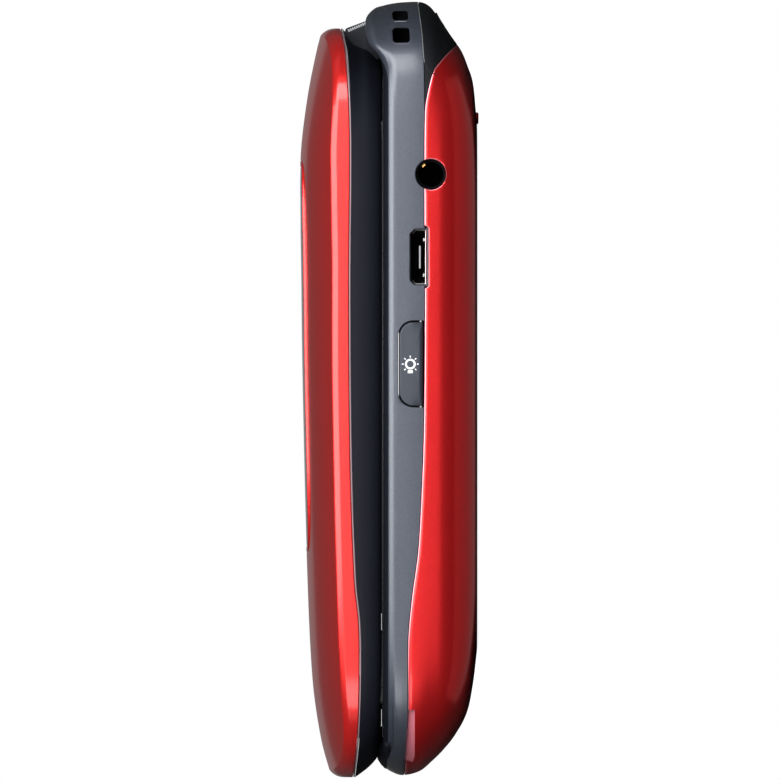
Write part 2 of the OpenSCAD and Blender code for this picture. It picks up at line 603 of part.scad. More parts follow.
module headphone_jack() color(black) difference() {
    union() {
        block([12.2, 25.2], [jack_at[0] - 3, jack_at[0] + 3], [jack_at[1] - 2.6, board_z[0]]);
        rod(2.1, 25.1, half_w - wall - 0.1, jack_at[0], jack_at[1]);
    }
    rod(jack_bore_r, 12.9, half_w, jack_at[0], jack_at[1]);
}
module loudspeaker() color("#2a2a2a") difference() {
    post(speaker_r, speaker_at[0], speaker_at[1], [1.75, 5.1]);
    post(speaker_r - 1.2, speaker_at[0], speaker_at[1], [1.6, 2.1]);
}
module speaker_mesh() color(steel) slab([-14.6, -3.4], [26.6, 34.4], [1.42, 1.6], 1);
motor_y = 20;
motor_z = 4.9;
module vibration_motor() color(steel) {
    rod(2, 6, 15, motor_y, motor_z);
    rod(1.8, 15.2, 17.2, motor_y, motor_z);
    rod(0.4, 14.9, 15.3, motor_y, motor_z);
    block([7, 14], [motor_y - 1, motor_y + 1], [motor_z + 1.5, chassis_z[0]]);
}
module microphone() color(steel) post(1.7, 0, mic_y, [board_z[1], 12.2]);
module antenna() color(gold) difference() {
    block([-16, 16], [42, 47.8], [4.4, chassis_z[0]]);
    block([-14.5, 14.5], [41, 46.6], [4, 6.4]);
}
module torch_led() color("#e8e2c0") {
    block([led_at[0] - 1.6, led_at[0] + 1.6], [46.2, 47.4], [board_z[1] - 2.6, board_z[1] + 0.7]);
    translate([led_at[0], 47.3, led_at[1]]) rotate([-90, 0, 0]) cylinder(r = 1.2, h = 1.8, $fn = 32);
}
module torch_lens() color("#dfe6ee")
    translate([led_at[0], 50.2, led_at[1]]) rotate([-90, 0, 0]) cylinder(r = 1.7, h = 2.4, $fn = 32);
module base_screws() color(steel) both_sides() for (b = boss_at) difference() {
    union() {
        post(screw_r, b[0], b[1], [7, 11.4]);
        post(1.7, b[0], b[1], [6.3, chassis_z[0]]);
    }
    for (a = [0, 90]) translate([b[0], b[1], 6.35]) rotate(a) cube([2, 0.4, 0.4], center = true);
}

// Slice of the shell between the battery cover's edge and the grey housing's edge
hump_outer = [0, 0.1, 0.22, 0.36, 0.5, 0.65, 0.8, 0.9, 1];
function hump_slice(p) = let (y = p[1] * half_l, lo = cover_edge(y) + 2 * small,
    hi = housing_edge(y) - small) concat(
    [for (f = hump_outer) base_point(p, lo + f * (hi - lo), 0)],
    [for (f = [1, 0.75, 0.5, 0.25, 0]) base_point(p, lo + f * (hi - lo), wall)]);
hump_from = 0.345; // where along the plan outline the slice starts
hump_steps = 9;
hump_plan = concat(
    [for (i = [0 : hump_steps]) plan_point(hump_from + (1 - hump_from) * i / hump_steps, -1, 1)],
    [for (i = [hump_steps - 1 : -1 : 0]) plan_point(hump_from + (1 - hump_from) * i / hump_steps, 1, 1)]);
// Side view of the slope that the lid's neck swings down to
swing_line = [[hinge_y - 0.15, 8.55], [53.4, 6.2], [54.6, 4.2], [60, 4.2], [60, 9.5], [hinge_y - 0.15, 9.5]];

module antenna_cover() color(black) {
    difference() {
        skin([for (p = hump_plan) hump_slice(p)]);
        across(-ear_x, ear_x) polygon(swing_line);
    }
    across(-ear_x, ear_x) polygon([[hinge_y - 0.15, 8.5], [53.4, 6.15], [52.6, 5.7], [hinge_y - 0.15, 7.3]]);
}

module battery_cover() color(red) difference() {
    union() {
        skin(concat(
            [for (f = [0, 0.04, 0.12, 0.25, 0.45, 0.7])
                base_ring(function (y) back_z + f * (cover_edge(y) - back_z))],
            [for (inset = [0, wall]) base_ring(function (y) cover_edge(y), inset)],
            [for (f = [0.6, 0.25, 0]) base_ring(function (y) 1.4 + f * (cover_edge(y) - 1.4),
                wall + 0.8 * pow(1 - f, 3))]));
        slab([-9, 9], ridge, [0, 1], 0.75);
    }
    rod(jack_hole_d / 2, 22, half_w + cut, jack_at[0], jack_at[1]);
    across(23, half_w + cut) polygon([[usb_y[0] - 0.3, 7.15], [usb_y[1] + 0.3, 7.15],
        [usb_y[1] + 0.3, 10], [usb_y[0] - 0.3, 10]]);
    // Notch for a fingernail, cut part way into the wall
    difference() {
        block([half_w - 10, half_w + cut], pry_notch_y, [9.05, 12]);
        linear_extrude(20) polygon([for (p = unit) [(half_w - 0.8) * p[0], (half_l - 1.5) * p[1]]]);
    }
    for (i = [-2 : 2]) slab([speaker_at[0] - 5, speaker_at[0] + 5],
        [speaker_at[1] + i * 1.7 - 0.4, speaker_at[1] + i * 1.7 + 0.4], [0, 3], 0.39);
}

lid_cover();
lid_frame();
outer_display_bezel();
outer_display_lens();
outer_display_module();
camera_module();
camera_ring();
lid_circuit_board();
main_display_module();
main_display_lens();
earpiece_speaker();
earpiece_mesh();
lid_bumpers();
lid_screws();
lid_screw_plugs();
hinge_cartridge();
display_flex_cable();
front_housing();
keypad_fascia();
keypad_membrane();
main_circuit_board();
shield_cans();
rear_housing();
antenna_cover();
battery_cover();
battery();
battery_contacts();
sim_holder();
micro_usb_port();
headphone_jack();
loudspeaker();
speaker_mesh();
vibration_motor();
microphone();
antenna();
torch_led();
torch_lens();
hinge_brackets();
hinge_pins();
base_screws();
number_key(0);  // key_1
number_key(1);  // key_2
number_key(2);  // key_3
number_key(3);  // key_4
number_key(4);  // key_5
number_key(5);  // key_6
number_key(6);  // key_7
number_key(7);  // key_8
number_key(8);  // key_9
number_key(9);  // key_star
number_key(10);  // key_0
number_key(11);  // key_hash
call_key();
end_key();
soft_key_left();
soft_key_right();
navigation_ring();
ok_key();
torch_key();
volume_key();
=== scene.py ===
"""A flip phone, closed and lying on its back, seen square on from the side with its sockets.

The shells are worked out as surfaces over one plan outline. Every length in this file is in
millimetres, up to the moment when a piece's points go into its mesh.
"""

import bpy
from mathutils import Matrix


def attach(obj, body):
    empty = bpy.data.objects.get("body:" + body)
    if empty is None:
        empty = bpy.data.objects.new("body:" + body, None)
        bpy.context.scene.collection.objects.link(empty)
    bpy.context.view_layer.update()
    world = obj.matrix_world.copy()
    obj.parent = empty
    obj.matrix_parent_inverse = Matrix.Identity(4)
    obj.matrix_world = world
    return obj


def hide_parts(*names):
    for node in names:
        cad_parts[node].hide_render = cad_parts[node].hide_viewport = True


bl_info = {
    "name": "Flip Phone",
    "version": (1, 0, 0),
    "blender": (4, 5, 0),
    "location": "View3D > Sidebar > Flip Phone",
    "description": "Dresses the frame of a flip phone with its shells, keys, sockets and finishes",
    "category": "Add Mesh",
}

import functools
import math

import bpy
import numpy as np
from bpy.props import FloatProperty, FloatVectorProperty, PointerProperty
from mathutils import Matrix, Vector

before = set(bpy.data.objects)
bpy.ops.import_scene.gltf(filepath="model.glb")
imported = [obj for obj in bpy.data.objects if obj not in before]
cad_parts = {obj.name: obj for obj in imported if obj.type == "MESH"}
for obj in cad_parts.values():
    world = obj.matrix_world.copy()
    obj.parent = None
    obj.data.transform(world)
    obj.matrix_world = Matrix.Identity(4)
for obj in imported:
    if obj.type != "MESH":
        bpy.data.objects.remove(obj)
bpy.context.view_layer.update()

MM = 0.001
HALF_W = 27.5
HALF_L = 55.0
WALL = 1.2
SIDES_POWER = 3.5
ENDS_POWER = 12.0

# ---- Control curves of the shells: [along the phone, height], as the frame has them ----

LID_CROWN = [[-55, 21.0], [-49.6, 22.4], [-41, 23.6], [-24, 24.4], [0, 25.0], [15, 25.2],
             [32.6, 25.3], [41, 24.4], [48.2, 23.05], [51.35, 22.3]]
LID_FALL = [[-55, 4.0], [0, 4.2], [27, 4.4], [41, 3.8], [51.35, 2.8]]
LID_SEAM = [[-55, 17.8], [-49.6, 17.2], [-41, 16.9], [-33, 17.0], [-27, 17.6], [-10, 18.2],
            [14, 18.4], [37, 18.3], [48, 18.9], [51.35, 19.6]]
LID_END = 51.35
LID_FOOT = -55.0
INNER_FACE_Z = 13.8
# Ends and side of the lid's inner housing, from its inner face (0) up to the seam (1)
FRAME_FOOT = [[0, -50.5], [0.15, -52], [0.33, -52.9], [0.55, -53.7], [0.75, -54.3], [1, -55]]
FRAME_END = [[0, 46.6], [0.06, 47.1], [0.17, 47.6], [0.3, 48.2], [0.4, 48.7], [0.6, 49.0],
             [0.8, 49.7], [1, 51.35]]
FRAME_SIDE = [[0, 1.6], [0.12, 0.9], [0.35, 0.4], [0.7, 0.1], [1, 0]]
# Ends of the base at each height
BASE_FOOT = [[0.2, -36.9], [0.7, -41.2], [1.5, -45.4], [3.2, -48.8], [4.9, -51], [6.6, -52.7],
             [8.3, -54.1], [10.9, -54.7], [12.6, -54.1], [13.57, -53.4]]
BASE_END = [[0.2, 37.4], [0.7, 43.1], [1.5, 45.9], [2.4, 48.1], [4.1, 50.6], [5.56, 52.9],
            [6.25, 54.2], [7, 55.04], [7.85, 55.52], [8.65, 55.65], [9.6, 55.65], [11.5, 55.52],
            [13.1, 55.24], [13.57, 55.1]]
COVER_EDGE = [[-55, 10.5], [-46.8, 10], [-36, 9.95], [-29.8, 9.4], [-24.1, 8.6], [-18.4, 8.2],
              [-7, 7.75], [10, 7.6], [38.5, 7.6], [43, 6.95], [46.6, 6.05], [50.8, 4.6], [55, 3]]
HUMP_EDGE = [[30, 7.5], [41, 7.62], [46.8, 7.75], [51.7, 8.2], [55, 8.6]]
# Top of the base from the keypad over the ears to the hinge end
BASE_TOP = [[-60, 13.57], [44.6, 13.57], [45.6, 13.62], [46.4, 13.78], [47.1, 14.1], [47.8, 14.65],
            [48.5, 15.32], [49.3, 15.82], [50.2, 16.04], [51.2, 16.08], [52.3, 16.03],
            [52.75, 15.92], [53.15, 15.68], [53.5, 15.4], [53.8, 15.08], [54.1, 14.7],
            [54.3, 14.3], [54.47, 13.7], [54.6, 13.1], [55.2, 11]]
FLAT_Z = 0.2
FLANK_Z = 5.6
BACK_ROUND = 7.0
LEAN = 0.6
LEAN_Z = 10.6

HINGE_Y = 51.0
HINGE_Z = 12.5
KNUCKLE_R = 3.5
KNUCKLE_HALF = 15.0
EAR_X = 15.4
WINDOW_HALF = 11.0
WINDOW_Y = (-23.1, 32.6)
WINDOW_POWER = 6
CAMERA_Y = 25.5
JACK = (30.5, 6.8)
JACK_HOLE_R = 2.15
USB_Y = (14.86, 22.74)
USB_Z = (7.5, 9.7)
TORCH_Y = (-2.48, 9.85)
TORCH_Z = (7.75, 11.4)
TORCH_LAMP = (-20.4, 10.4)
VOLUME_Y = (-7, 14)
VOLUME_Z = (8.3, 11.3)
PRY_NOTCH = (-52.7, -45.2)
PAD_MIDDLE = (0, -4.5)
PAD_HALF = (23.7, 39.6)
KEY_PITCH = (15.4, 11.4)
KEY_ROWS_Y = -3.5
KEY_TOP_Z = 13.45
CAP_TOP_Z = KEY_TOP_Z - 0.05
KEY_FLANGE_Z = 11.55
NAV_Y = 20.5

# Strap eyelets in the side view: corners [along, height, radius], and how far in they reach
EYELETS = [[[52.35, 9.95, 0.35], [53.65, 10.05, 0.35], [53.6, 12.3, 0.4], [52.3, 12.15, 0.4]],
           [[49.15, 9.75, 0.45], [51.25, 9.85, 0.45], [51.2, 12.25, 0.5], [49.1, 12.1, 0.5]]]
EYELET_FLOOR_X = 18.3
# Rails of the gasket round the main display: distance from the middle, span along, top. The two
# low ones leave the slits of light seen between the lid and the base.
GASKET = [[12, (-50.6, -47.9), 13.85], [19, (-47.8, -45.1), 13.75], [19, (-45.2, -41.8), 13.85],
          [24.6, (-42, -34.3), 13.85], [24.6, (-34.2, -31.7), 13.75], [24.6, (-31.6, 38), 13.85],
          [19, (37.8, 43.2), 13.85], [12, (43, 46.4), 13.85]]
# Section of the lip at the foot end: [along, height]
FOOT_LIP = [[-53.9, 12.7], [-53.75, 13.3], [-53.2, 13.85], [-52.4, 14.36], [-52.15, 14.38],
            [-51.9, 14.25], [-51.0, 13.62], [-51.0, 13.3]]


class Sizes(bpy.types.PropertyGroup):
    """Small roundings that the frame leaves sharp."""

    crease_r: FloatProperty(
        name="Lid side radius", description="Radius of the lid's side up to its crease, in mm",
        default=2.0, min=1.2, max=3.0)
    top_r: FloatProperty(
        name="Base edge radius", description="Radius of the grey housing's upper edge, in mm",
        default=1.55, min=0.6, max=1.6)
    edge_bevel: FloatProperty(
        name="Cover edge", description="Width of the bevel along the back cover's edge, in mm",
        default=0.11, min=0.1, max=0.4)
    mouth_r: FloatProperty(
        name="Mouth radius", description="Rounding at the mouths of sockets and slots, in mm",
        default=0.16, min=0.05, max=0.3)


class Colours(bpy.types.PropertyGroup):
    """Colours of the finishes, as linear values."""

    red: FloatVectorProperty(
        name="Lacquer", description="Metallic red lacquer", subtype="COLOR", size=3,
        default=(0.78, 0.022, 0.020), min=0, max=1)
    # The back's lacquer is the lid's lacquer made darker: painted shade.
    shaded_back_red: FloatVectorProperty(
        name="Back lacquer", description="Metallic red lacquer of the back", subtype="COLOR", size=3,
        default=(0.74, 0.017, 0.019), min=0, max=1)
    grey: FloatVectorProperty(
        name="Grey paint", description="Metallic grey paint", subtype="COLOR", size=3,
        default=(0.053, 0.062, 0.084), min=0, max=1)
    black: FloatVectorProperty(
        name="Black plastic", description="Satin black plastic", subtype="COLOR", size=3,
        default=(0.0065, 0.0076, 0.0130), min=0, max=1)
    key: FloatVectorProperty(
        name="Key plastic", description="Dark grey plastic of the keys", subtype="COLOR", size=3,
        default=(0.035, 0.039, 0.048), min=0, max=1)


class Lights(bpy.types.PropertyGroup):
    """Brightness of the studio's lamps, where 1 is white."""

    key: FloatProperty(
        name="Key", description="Softbox above the side with the sockets",
        default=6.8, min=0, max=30)
    front: FloatProperty(
        name="Front card",
        description="Low white card behind the camera, and the two small cards with it",
        default=0.85, min=0, max=10)
    back: FloatProperty(
        name="Back card", description="Low white card behind the phone",
        default=0.18, min=0, max=10)
    head: FloatProperty(
        name="Head light", description="Softbox beyond the hinge end",
        default=0.25, min=0, max=30)
    room: FloatProperty(
        name="Room", description="Light from all round on matt surfaces",
        default=0.32, min=0, max=2)
    room_gloss: FloatProperty(
        name="Room in reflections", description="Light from all round in reflections",
        default=0.06, min=0, max=2)
    under: FloatProperty(
        name="Glow below", description="Glow of the floor under the phone in reflections",
        default=0.14, min=0, max=2)


# ---- Curves and outlines ----


def curve(t, points):
    """Smooth curve through control points: between each two a cubic, with the slope at a point
    taken from its two neighbours. Beyond the ends it stays at the end values."""
    x, y = np.array(points, float).T
    slope = np.gradient(y, x)
    slope[1:-1] = (y[2:] - y[:-2]) / (x[2:] - x[:-2])
    c = np.clip(t, x[0], x[-1])
    i = np.clip(np.searchsorted(x, c, side="right") - 1, 0, len(x) - 2)
    h = x[i + 1] - x[i]
    u = (c - x[i]) / h
    return (y[i] * (1 + 2 * u) * (1 - u) ** 2 + y[i + 1] * u * u * (3 - 2 * u)
            + h * slope[i] * u * (1 - u) ** 2 - h * slope[i + 1] * u * u * (1 - u))


def plan_outline(quarter=112, turn_weight=14.0):
    """Unit outline |x|^3.5 + |y|^12 = 1, counter-clockwise from +X. Its points are spaced evenly
    by length plus turn_weight times the turn in radians, so that the corners get more of them."""
    s = 1 - (1 - np.linspace(0, 1, 6001)) ** SIDES_POWER
    x = np.maximum(0, 1 - s ** ENDS_POWER) ** (1 / SIDES_POWER)
    dx, dy = np.diff(x * HALF_W), np.diff(s * HALF_L)
    angle = np.unwrap(np.arctan2(dy, dx))
    weight = np.hypot(dx, dy)
    weight[1:] += turn_weight * np.abs(np.diff(angle))
    total = np.concatenate([[0], np.cumsum(weight)])
    at = np.interp(np.linspace(0, total[-1], quarter + 1), total, np.arange(len(s)))
    q = np.stack([np.interp(at, np.arange(len(s)), x), np.interp(at, np.arange(len(s)), s)], 1)
    q[-1] = (0, 1)
    half = np.concatenate([q[:-1], q[:0:-1] * (-1, 1)])
    return np.concatenate([half, -half])


OUTLINE = plan_outline()


def outline_normals(xy):
    """Outward unit normals of a closed counter-clockwise outline: its tangent, turned right."""
    tangent = np.roll(xy, -1, 0) - np.roll(xy, 1, 0)
    normal = np.stack([tangent[:, 1], -tangent[:, 0]], 1)
    return normal / np.linalg.norm(normal, axis=1, keepdims=True)


END_SHARE = outline_normals(OUTLINE * (HALF_W, HALF_L))[:, 1] ** 2


def smooth_step(t):
    """0 below 0, 1 above 1, and 3t^2 - 2t^3 between them."""
    t = np.clip(t, 0, 1)
    return t * t * (3 - 2 * t)


def box_outline(half_w, half_l, r, middle=(0, 0)):
    """Rounded rectangle with one point for each point of the plan outline: the ray from its
    middle in that point's direction meets either a straight side or a corner's circle."""
    ray = OUTLINE * (half_w, half_l)
    ray /= np.linalg.norm(ray, axis=1, keepdims=True)
    c, s = np.maximum(np.abs(ray), 1e-9).T
    to_side, to_end = half_w / c, half_l / s
    cx, cy = half_w - r, half_l - r
    along = c * cx + s * cy
    to_corner = along + np.sqrt(np.maximum(0, along ** 2 - cx ** 2 - cy ** 2 + r ** 2))
    t = np.where(to_side * s <= cy, to_side, np.where(to_end * c <= cx, to_end, to_corner))
    return middle + t[:, None] * ray


def rounded_polygon(corners, steps=8):
    """Closed outline from corners [x, y, radius]: each corner becomes an arc that touches its
    two sides."""
    corners = np.array(corners, float)
    out = []
    for i, (x, y, r) in enumerate(corners):
        p = np.array([x, y])
        a = corners[i - 1][:2] - p
        b = corners[(i + 1) % len(corners)][:2] - p
        a, b = a / np.linalg.norm(a), b / np.linalg.norm(b)
        half = math.acos(np.clip(a @ b, -1, 1)) / 2
        middle = p + (a + b) / np.linalg.norm(a + b) * r / math.sin(half)
        start, stop = p + a * r / math.tan(half) - middle, p + b * r / math.tan(half) - middle
        t = np.linspace(0, 1, steps + 1)[:, None]
        arc = start * (1 - t) + stop * t
        out.append(middle + arc / np.linalg.norm(arc, axis=1, keepdims=True) * r)
    return np.concatenate(out)


def circle(r, middle=(0, 0), count=64):
    """Circle, counter-clockwise."""
    t = np.linspace(0, 2 * math.pi, count, endpoint=False)
    return np.stack([middle[0] + r * np.cos(t), middle[1] + r * np.sin(t)], 1)


def grown(outline, by):
    """The outline moved outwards along its normals."""
    return outline + outline_normals(outline) * by


def rectangle(x, y, r=0.3):
    """Counter-clockwise rounded rectangle between x = (low, high) and y = (low, high)."""
    return rounded_polygon([[x[1], y[0], r], [x[1], y[1], r], [x[0], y[1], r], [x[0], y[0], r]])


def ring(xy, z):
    """Row of points over an outline at a height, which is a number or one for each point."""
    return np.column_stack([xy, np.broadcast_to(z, len(xy))])


def side_ring(x, outline):
    """Row of points over an outline [along, height] at an x, a number or one for each point."""
    return np.column_stack([np.broadcast_to(x, len(outline)), outline])


# ---- Heights and rings of the shells ----


def crown_z(xy):
    """Crown of the lid: its ridge line less a fall that grows with the square of x."""
    return curve(xy[:, 1], LID_CROWN) - curve(xy[:, 1], LID_FALL) * (xy[:, 0] / HALF_W) ** 2


def window_z(xy):
    """Outer window: the crown's ridge line with a smaller fall, so that its sides stand proud."""
    fall = 4.3 - 0.3 * (HALF_W / WINDOW_HALF) ** 2
    return curve(xy[:, 1], LID_CROWN) - fall * (xy[:, 0] / HALF_W) ** 2


def window_outline(inset=0.0):
    """Outline |x|^6 + |y|^6 = 1 of the outer window: the plan outline's points, each moved
    along its ray onto it."""
    unit = OUTLINE / (np.abs(OUTLINE) ** WINDOW_POWER).sum(1, keepdims=True) ** (1 / WINDOW_POWER)
    half = (WINDOW_Y[1] - WINDOW_Y[0]) / 2
    return (0, sum(WINDOW_Y) / 2) + unit * (WINDOW_HALF - inset, half - inset)


def lid_xy(inset=0.0):
    """Plan of the lid drawn in by an inset, which may differ from point to point."""
    inset = np.broadcast_to(inset, len(OUTLINE))
    middle, half = (LID_END + LID_FOOT) / 2, (LID_END - LID_FOOT) / 2
    return np.stack([(HALF_W - inset) * OUTLINE[:, 0], middle + (half - inset) * OUTLINE[:, 1]], 1)


def side_at(z):
    """Half width of the base: flanks that lean in slightly with the square of the depth below
    LEAN_Z, and below FLANK_Z a quarter of an ellipse."""
    drop = np.clip((FLANK_Z - z) / (FLANK_Z - FLAT_Z), 0, 1)
    lean = LEAN * np.maximum(0, (LEAN_Z - z) / LEAN_Z) ** 2
    return HALF_W - lean - BACK_ROUND * (1 - np.sqrt(1 - drop ** 2))


def base_ring(z, inset=0.0):
    """Ring of the base's outer face at a height, or at one for each point, drawn in by an
    inset."""
    z = np.broadcast_to(z, len(OUTLINE))
    y0, y1 = curve(z, BASE_FOOT) + inset, curve(z, BASE_END) - inset
    x = (side_at(z) - inset) * OUTLINE[:, 0]
    return np.stack([x, (y0 + y1) / 2 + (y1 - y0) / 2 * OUTLINE[:, 1], z], 1)


def cover_edge(share):
    """Height of the back cover's edge, from the share of the half length that a point is at."""
    return curve(share * HALF_L, COVER_EDGE)


def housing_edge(share):
    """Height of the grey housing's lower edge: the cover's edge, or the hump's where higher."""
    y = share * HALF_L
    return np.maximum(cover_edge(share), np.where(y < HUMP_EDGE[0][0], 0, curve(y, HUMP_EDGE)))


def frame_ring(f, inset=0.0):
    """Ring of the lid's inner housing at the share f of its height from inner face to seam."""
    y0, y1 = curve(f, FRAME_FOOT) + inset, curve(f, FRAME_END) - inset
    y = (y0 + y1) / 2 + (y1 - y0) / 2 * OUTLINE[:, 1]
    x = (HALF_W - inset - curve(f, FRAME_SIDE)) * OUTLINE[:, 0]
    return np.stack([x, y, INNER_FACE_Z + f * (curve(y, LID_SEAM) - INNER_FACE_Z)], 1)


# ---- Pieces ----


class Form:
    """Points and faces of a piece, gathered part by part."""

    def __init__(self):
        self.points, self.faces, self.slots, self.count = [], [], [], 0

    def part(self, points, faces, slot=0):
        """Adds one part, and turns its faces outwards if they enclose a negative volume."""
        points = np.asarray(points, float)
        volume = 0.0
        for size in {len(f) for f in faces}:
            corners = points[np.array([f for f in faces if len(f) == size])]
            for k in range(1, size - 1):
                normal = np.cross(corners[:, k], corners[:, k + 1])
                volume += float((corners[:, 0] * normal).sum())
        if volume < 0:
            faces = [f[::-1] for f in faces]
        self.points.append(points)
        self.faces += [[i + self.count for i in f] for f in faces]
        self.slots += slot if isinstance(slot, list) else [slot] * len(faces)
        self.count += len(points)
        return self

    def rows(self, rows, slot=0, loop=False):
        """Solid through equal closed rows of points [row, place, xyz]: quads between neighbours.
        The rows close on themselves as a loop, or else fans close the first and the last. The
        slot is one number, or one for each band of quads with one more for the fans."""
        rows = np.asarray(rows, float)
        n, m = rows.shape[:2]
        k = np.arange(m)
        faces = []
        bands = n if loop else n - 1
        for j in range(bands):
            a, b = j * m + k, j * m + (k + 1) % m
            c, d = (j + 1) % n * m + k, (j + 1) % n * m + (k + 1) % m
            faces += np.stack([a, b, d, c], 1).tolist()
        points = rows.reshape(-1, 3)
        if not loop:
            points = np.vstack([points, rows[0].mean(0), rows[-1].mean(0)])
            last = (n - 1) * m
            faces += np.stack([(k + 1) % m, k, np.full(m, n * m)], 1).tolist()
            faces += np.stack([last + k, last + (k + 1) % m, np.full(m, n * m + 1)], 1).tolist()
        if np.ndim(slot):
            slot = list(slot) + [slot[-1]] * (bands + 2 - len(slot))
            slot = np.repeat(slot, m)[:len(faces)].tolist()
        return self.part(points, faces, slot)

    def tube(self, path, r, sides=8):
        """Round tube of radius r along a path of points. Each ring stands square to the path,
        in the plane of two directions: the path's crossed with a guide, and that one crossed
        with the path's again."""
        along = np.gradient(path, axis=0)
        along /= np.linalg.norm(along, axis=1, keepdims=True)
        lies_flat = np.ptp(path[:, 2]) < np.ptp(path[:, 0])
        u = np.cross(along, (0.31, 0.23, 0.92) if lies_flat else (1, 0, 0))
        u /= np.linalg.norm(u, axis=1, keepdims=True)
        v = np.cross(along, u)
        t = np.linspace(0, 2 * math.pi, sides, endpoint=False)[:, None]
        return self.rows(path[:, None] + r * (u[:, None] * np.cos(t) + v[:, None] * np.sin(t)))

    def piece(self, name, body, materials, replaces=(), slot=None, cuts=(), joins=(), sharp=38):
        """Makes the object, carves it, smooths it up to the sharp angle and sets it on its body."""
        mesh = bpy.data.meshes.new(name)
        mesh.from_pydata((np.concatenate(self.points) * MM).tolist(), [], self.faces)
        for m in materials:
            mesh.materials.append(m)
        mesh.polygons.foreach_set("material_index", self.slots)
        made = bpy.data.objects.new(name, mesh)
        bpy.context.scene.collection.objects.link(made)
        for operation, forms in (("UNION", joins), ("DIFFERENCE", cuts)):
            for form in forms:
                carve(made, form, operation)
        made.data.shade_smooth()
        made.data.set_sharp_from_angle(angle=math.radians(sharp))
        weighted = made.modifiers.new("weighted normals", "WEIGHTED_NORMAL")
        weighted.keep_sharp = True
        if body:
            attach(made, body)
        if replaces:
            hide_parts(*replaces)
        return made


def carve(target, form, operation):
    """Cuts a closed form out of an object, or joins it on, and keeps the result as its mesh."""
    mesh = bpy.data.meshes.new("tool")
    mesh.from_pydata((np.concatenate(form.points) * MM).tolist(), [], form.faces)
    mesh.polygons.foreach_set("material_index", form.slots)
    tool = bpy.data.objects.new("tool", mesh)
    bpy.context.scene.collection.objects.link(tool)
    cut = target.modifiers.new("cut", "BOOLEAN")
    cut.object, cut.operation, cut.solver = tool, operation, "MANIFOLD"
    bpy.context.view_layer.update()
    evaluated = target.evaluated_get(bpy.context.evaluated_depsgraph_get())
    result = bpy.data.meshes.new_from_object(evaluated)
    target.modifiers.clear()
    old, target.data = target.data, result
    bpy.data.meshes.remove(old)
    bpy.data.objects.remove(tool)
    bpy.data.meshes.remove(mesh)
    if not len(result.polygons):
        raise RuntimeError(f"{target.name}: nothing is left after a {operation.lower()}")


def across(outline, x0, x1, slot=0, form=None):
    """Solid of an outline [along, height] between x0 and x1."""
    return (form or Form()).rows([side_ring(x0, outline), side_ring(x1, outline)], slot)


def upright(outline, z0, z1, slot=0, form=None):
    """Solid of an outline [across, along] between z0 and z1."""
    return (form or Form()).rows([ring(outline, z0), ring(outline, z1)], slot)


def flank_x(y, z):
    """Half width of the base's outer face at a place along and a height: the plan outline's
    formula solved for x."""
    y0, y1 = curve(z, BASE_FOOT), curve(z, BASE_END)
    share = np.abs((y - (y0 + y1) / 2) / ((y1 - y0) / 2))
    return side_at(z) * np.maximum(0, 1 - share ** ENDS_POWER) ** (1 / SIDES_POWER)


def mouth_cutter(outline, bottom_x, r, side=1, form=None, slot=0):
    """Cutter for a hole in the base's side, down to bottom_x. At depth d below the face, the
    outline [along, height] is grown by r - sqrt(r^2 - (r - d)^2) down to d = r, which rounds
    the hole's mouth."""
    face = flank_x(*outline.T)
    rows = [side_ring(side * (face + 1), grown(outline, r))]
    for t in np.linspace(0, math.pi / 2, 6):
        x = face - r * (1 - math.cos(t))
        rows.append(side_ring(side * x, grown(outline, r * (1 - math.sin(t)))))
    rows.append(side_ring(side * bottom_x, outline))
    return (form or Form()).rows(rows, slot)


def key_rows(outline, z0, z1, r, dome=0.0):
    """Rows of a key cap: upright sides from z0, a quarter round of radius r up to z1, and a top
    whose height gains dome times (1 - share^2), share being the distance out from its middle."""
    middle = outline.mean(0)
    rows = [ring(outline, z0), ring(outline, z1 - r)]
    for t in np.linspace(0, math.pi / 2, 7)[1:]:
        rows.append(ring(grown(outline, -r * (1 - math.cos(t))), z1 - r * (1 - math.sin(t))))
    top = grown(outline, -r)
    for share in (0.9, 0.75, 0.55, 0.35, 0.15):
        rows.append(ring(middle + (top - middle) * share, z1 + dome * (1 - share ** 2)))
    return rows


def glyph(text, size, middle, z, thick=0.04):
    """Flat raised figure from Blender's own typeface, its middle at a place on top of a key."""
    font = bpy.data.curves.new("glyph", "FONT")
    font.body, font.size, font.extrude = text, size, thick / 2
    font.align_x, font.align_y = "CENTER", "CENTER"
    holder = bpy.data.objects.new("glyph", font)
    bpy.context.scene.collection.objects.link(holder)
    bpy.context.view_layer.update()
    evaluated = holder.evaluated_get(bpy.context.evaluated_depsgraph_get())
    mesh = bpy.data.meshes.new_from_object(evaluated)
    points = np.zeros(len(mesh.vertices) * 3)
    mesh.vertices.foreach_get("co", points)
    points = points.reshape(-1, 3)
    points[:, :2] += np.array(middle) - (points[:, :2].max(0) + points[:, :2].min(0)) / 2
    points[:, 2] += z
    faces = [list(p.vertices) for p in mesh.polygons]
    bpy.data.objects.remove(holder)
    bpy.data.curves.remove(font)
    bpy.data.meshes.remove(mesh)
    return points, faces


# ---- Materials ----


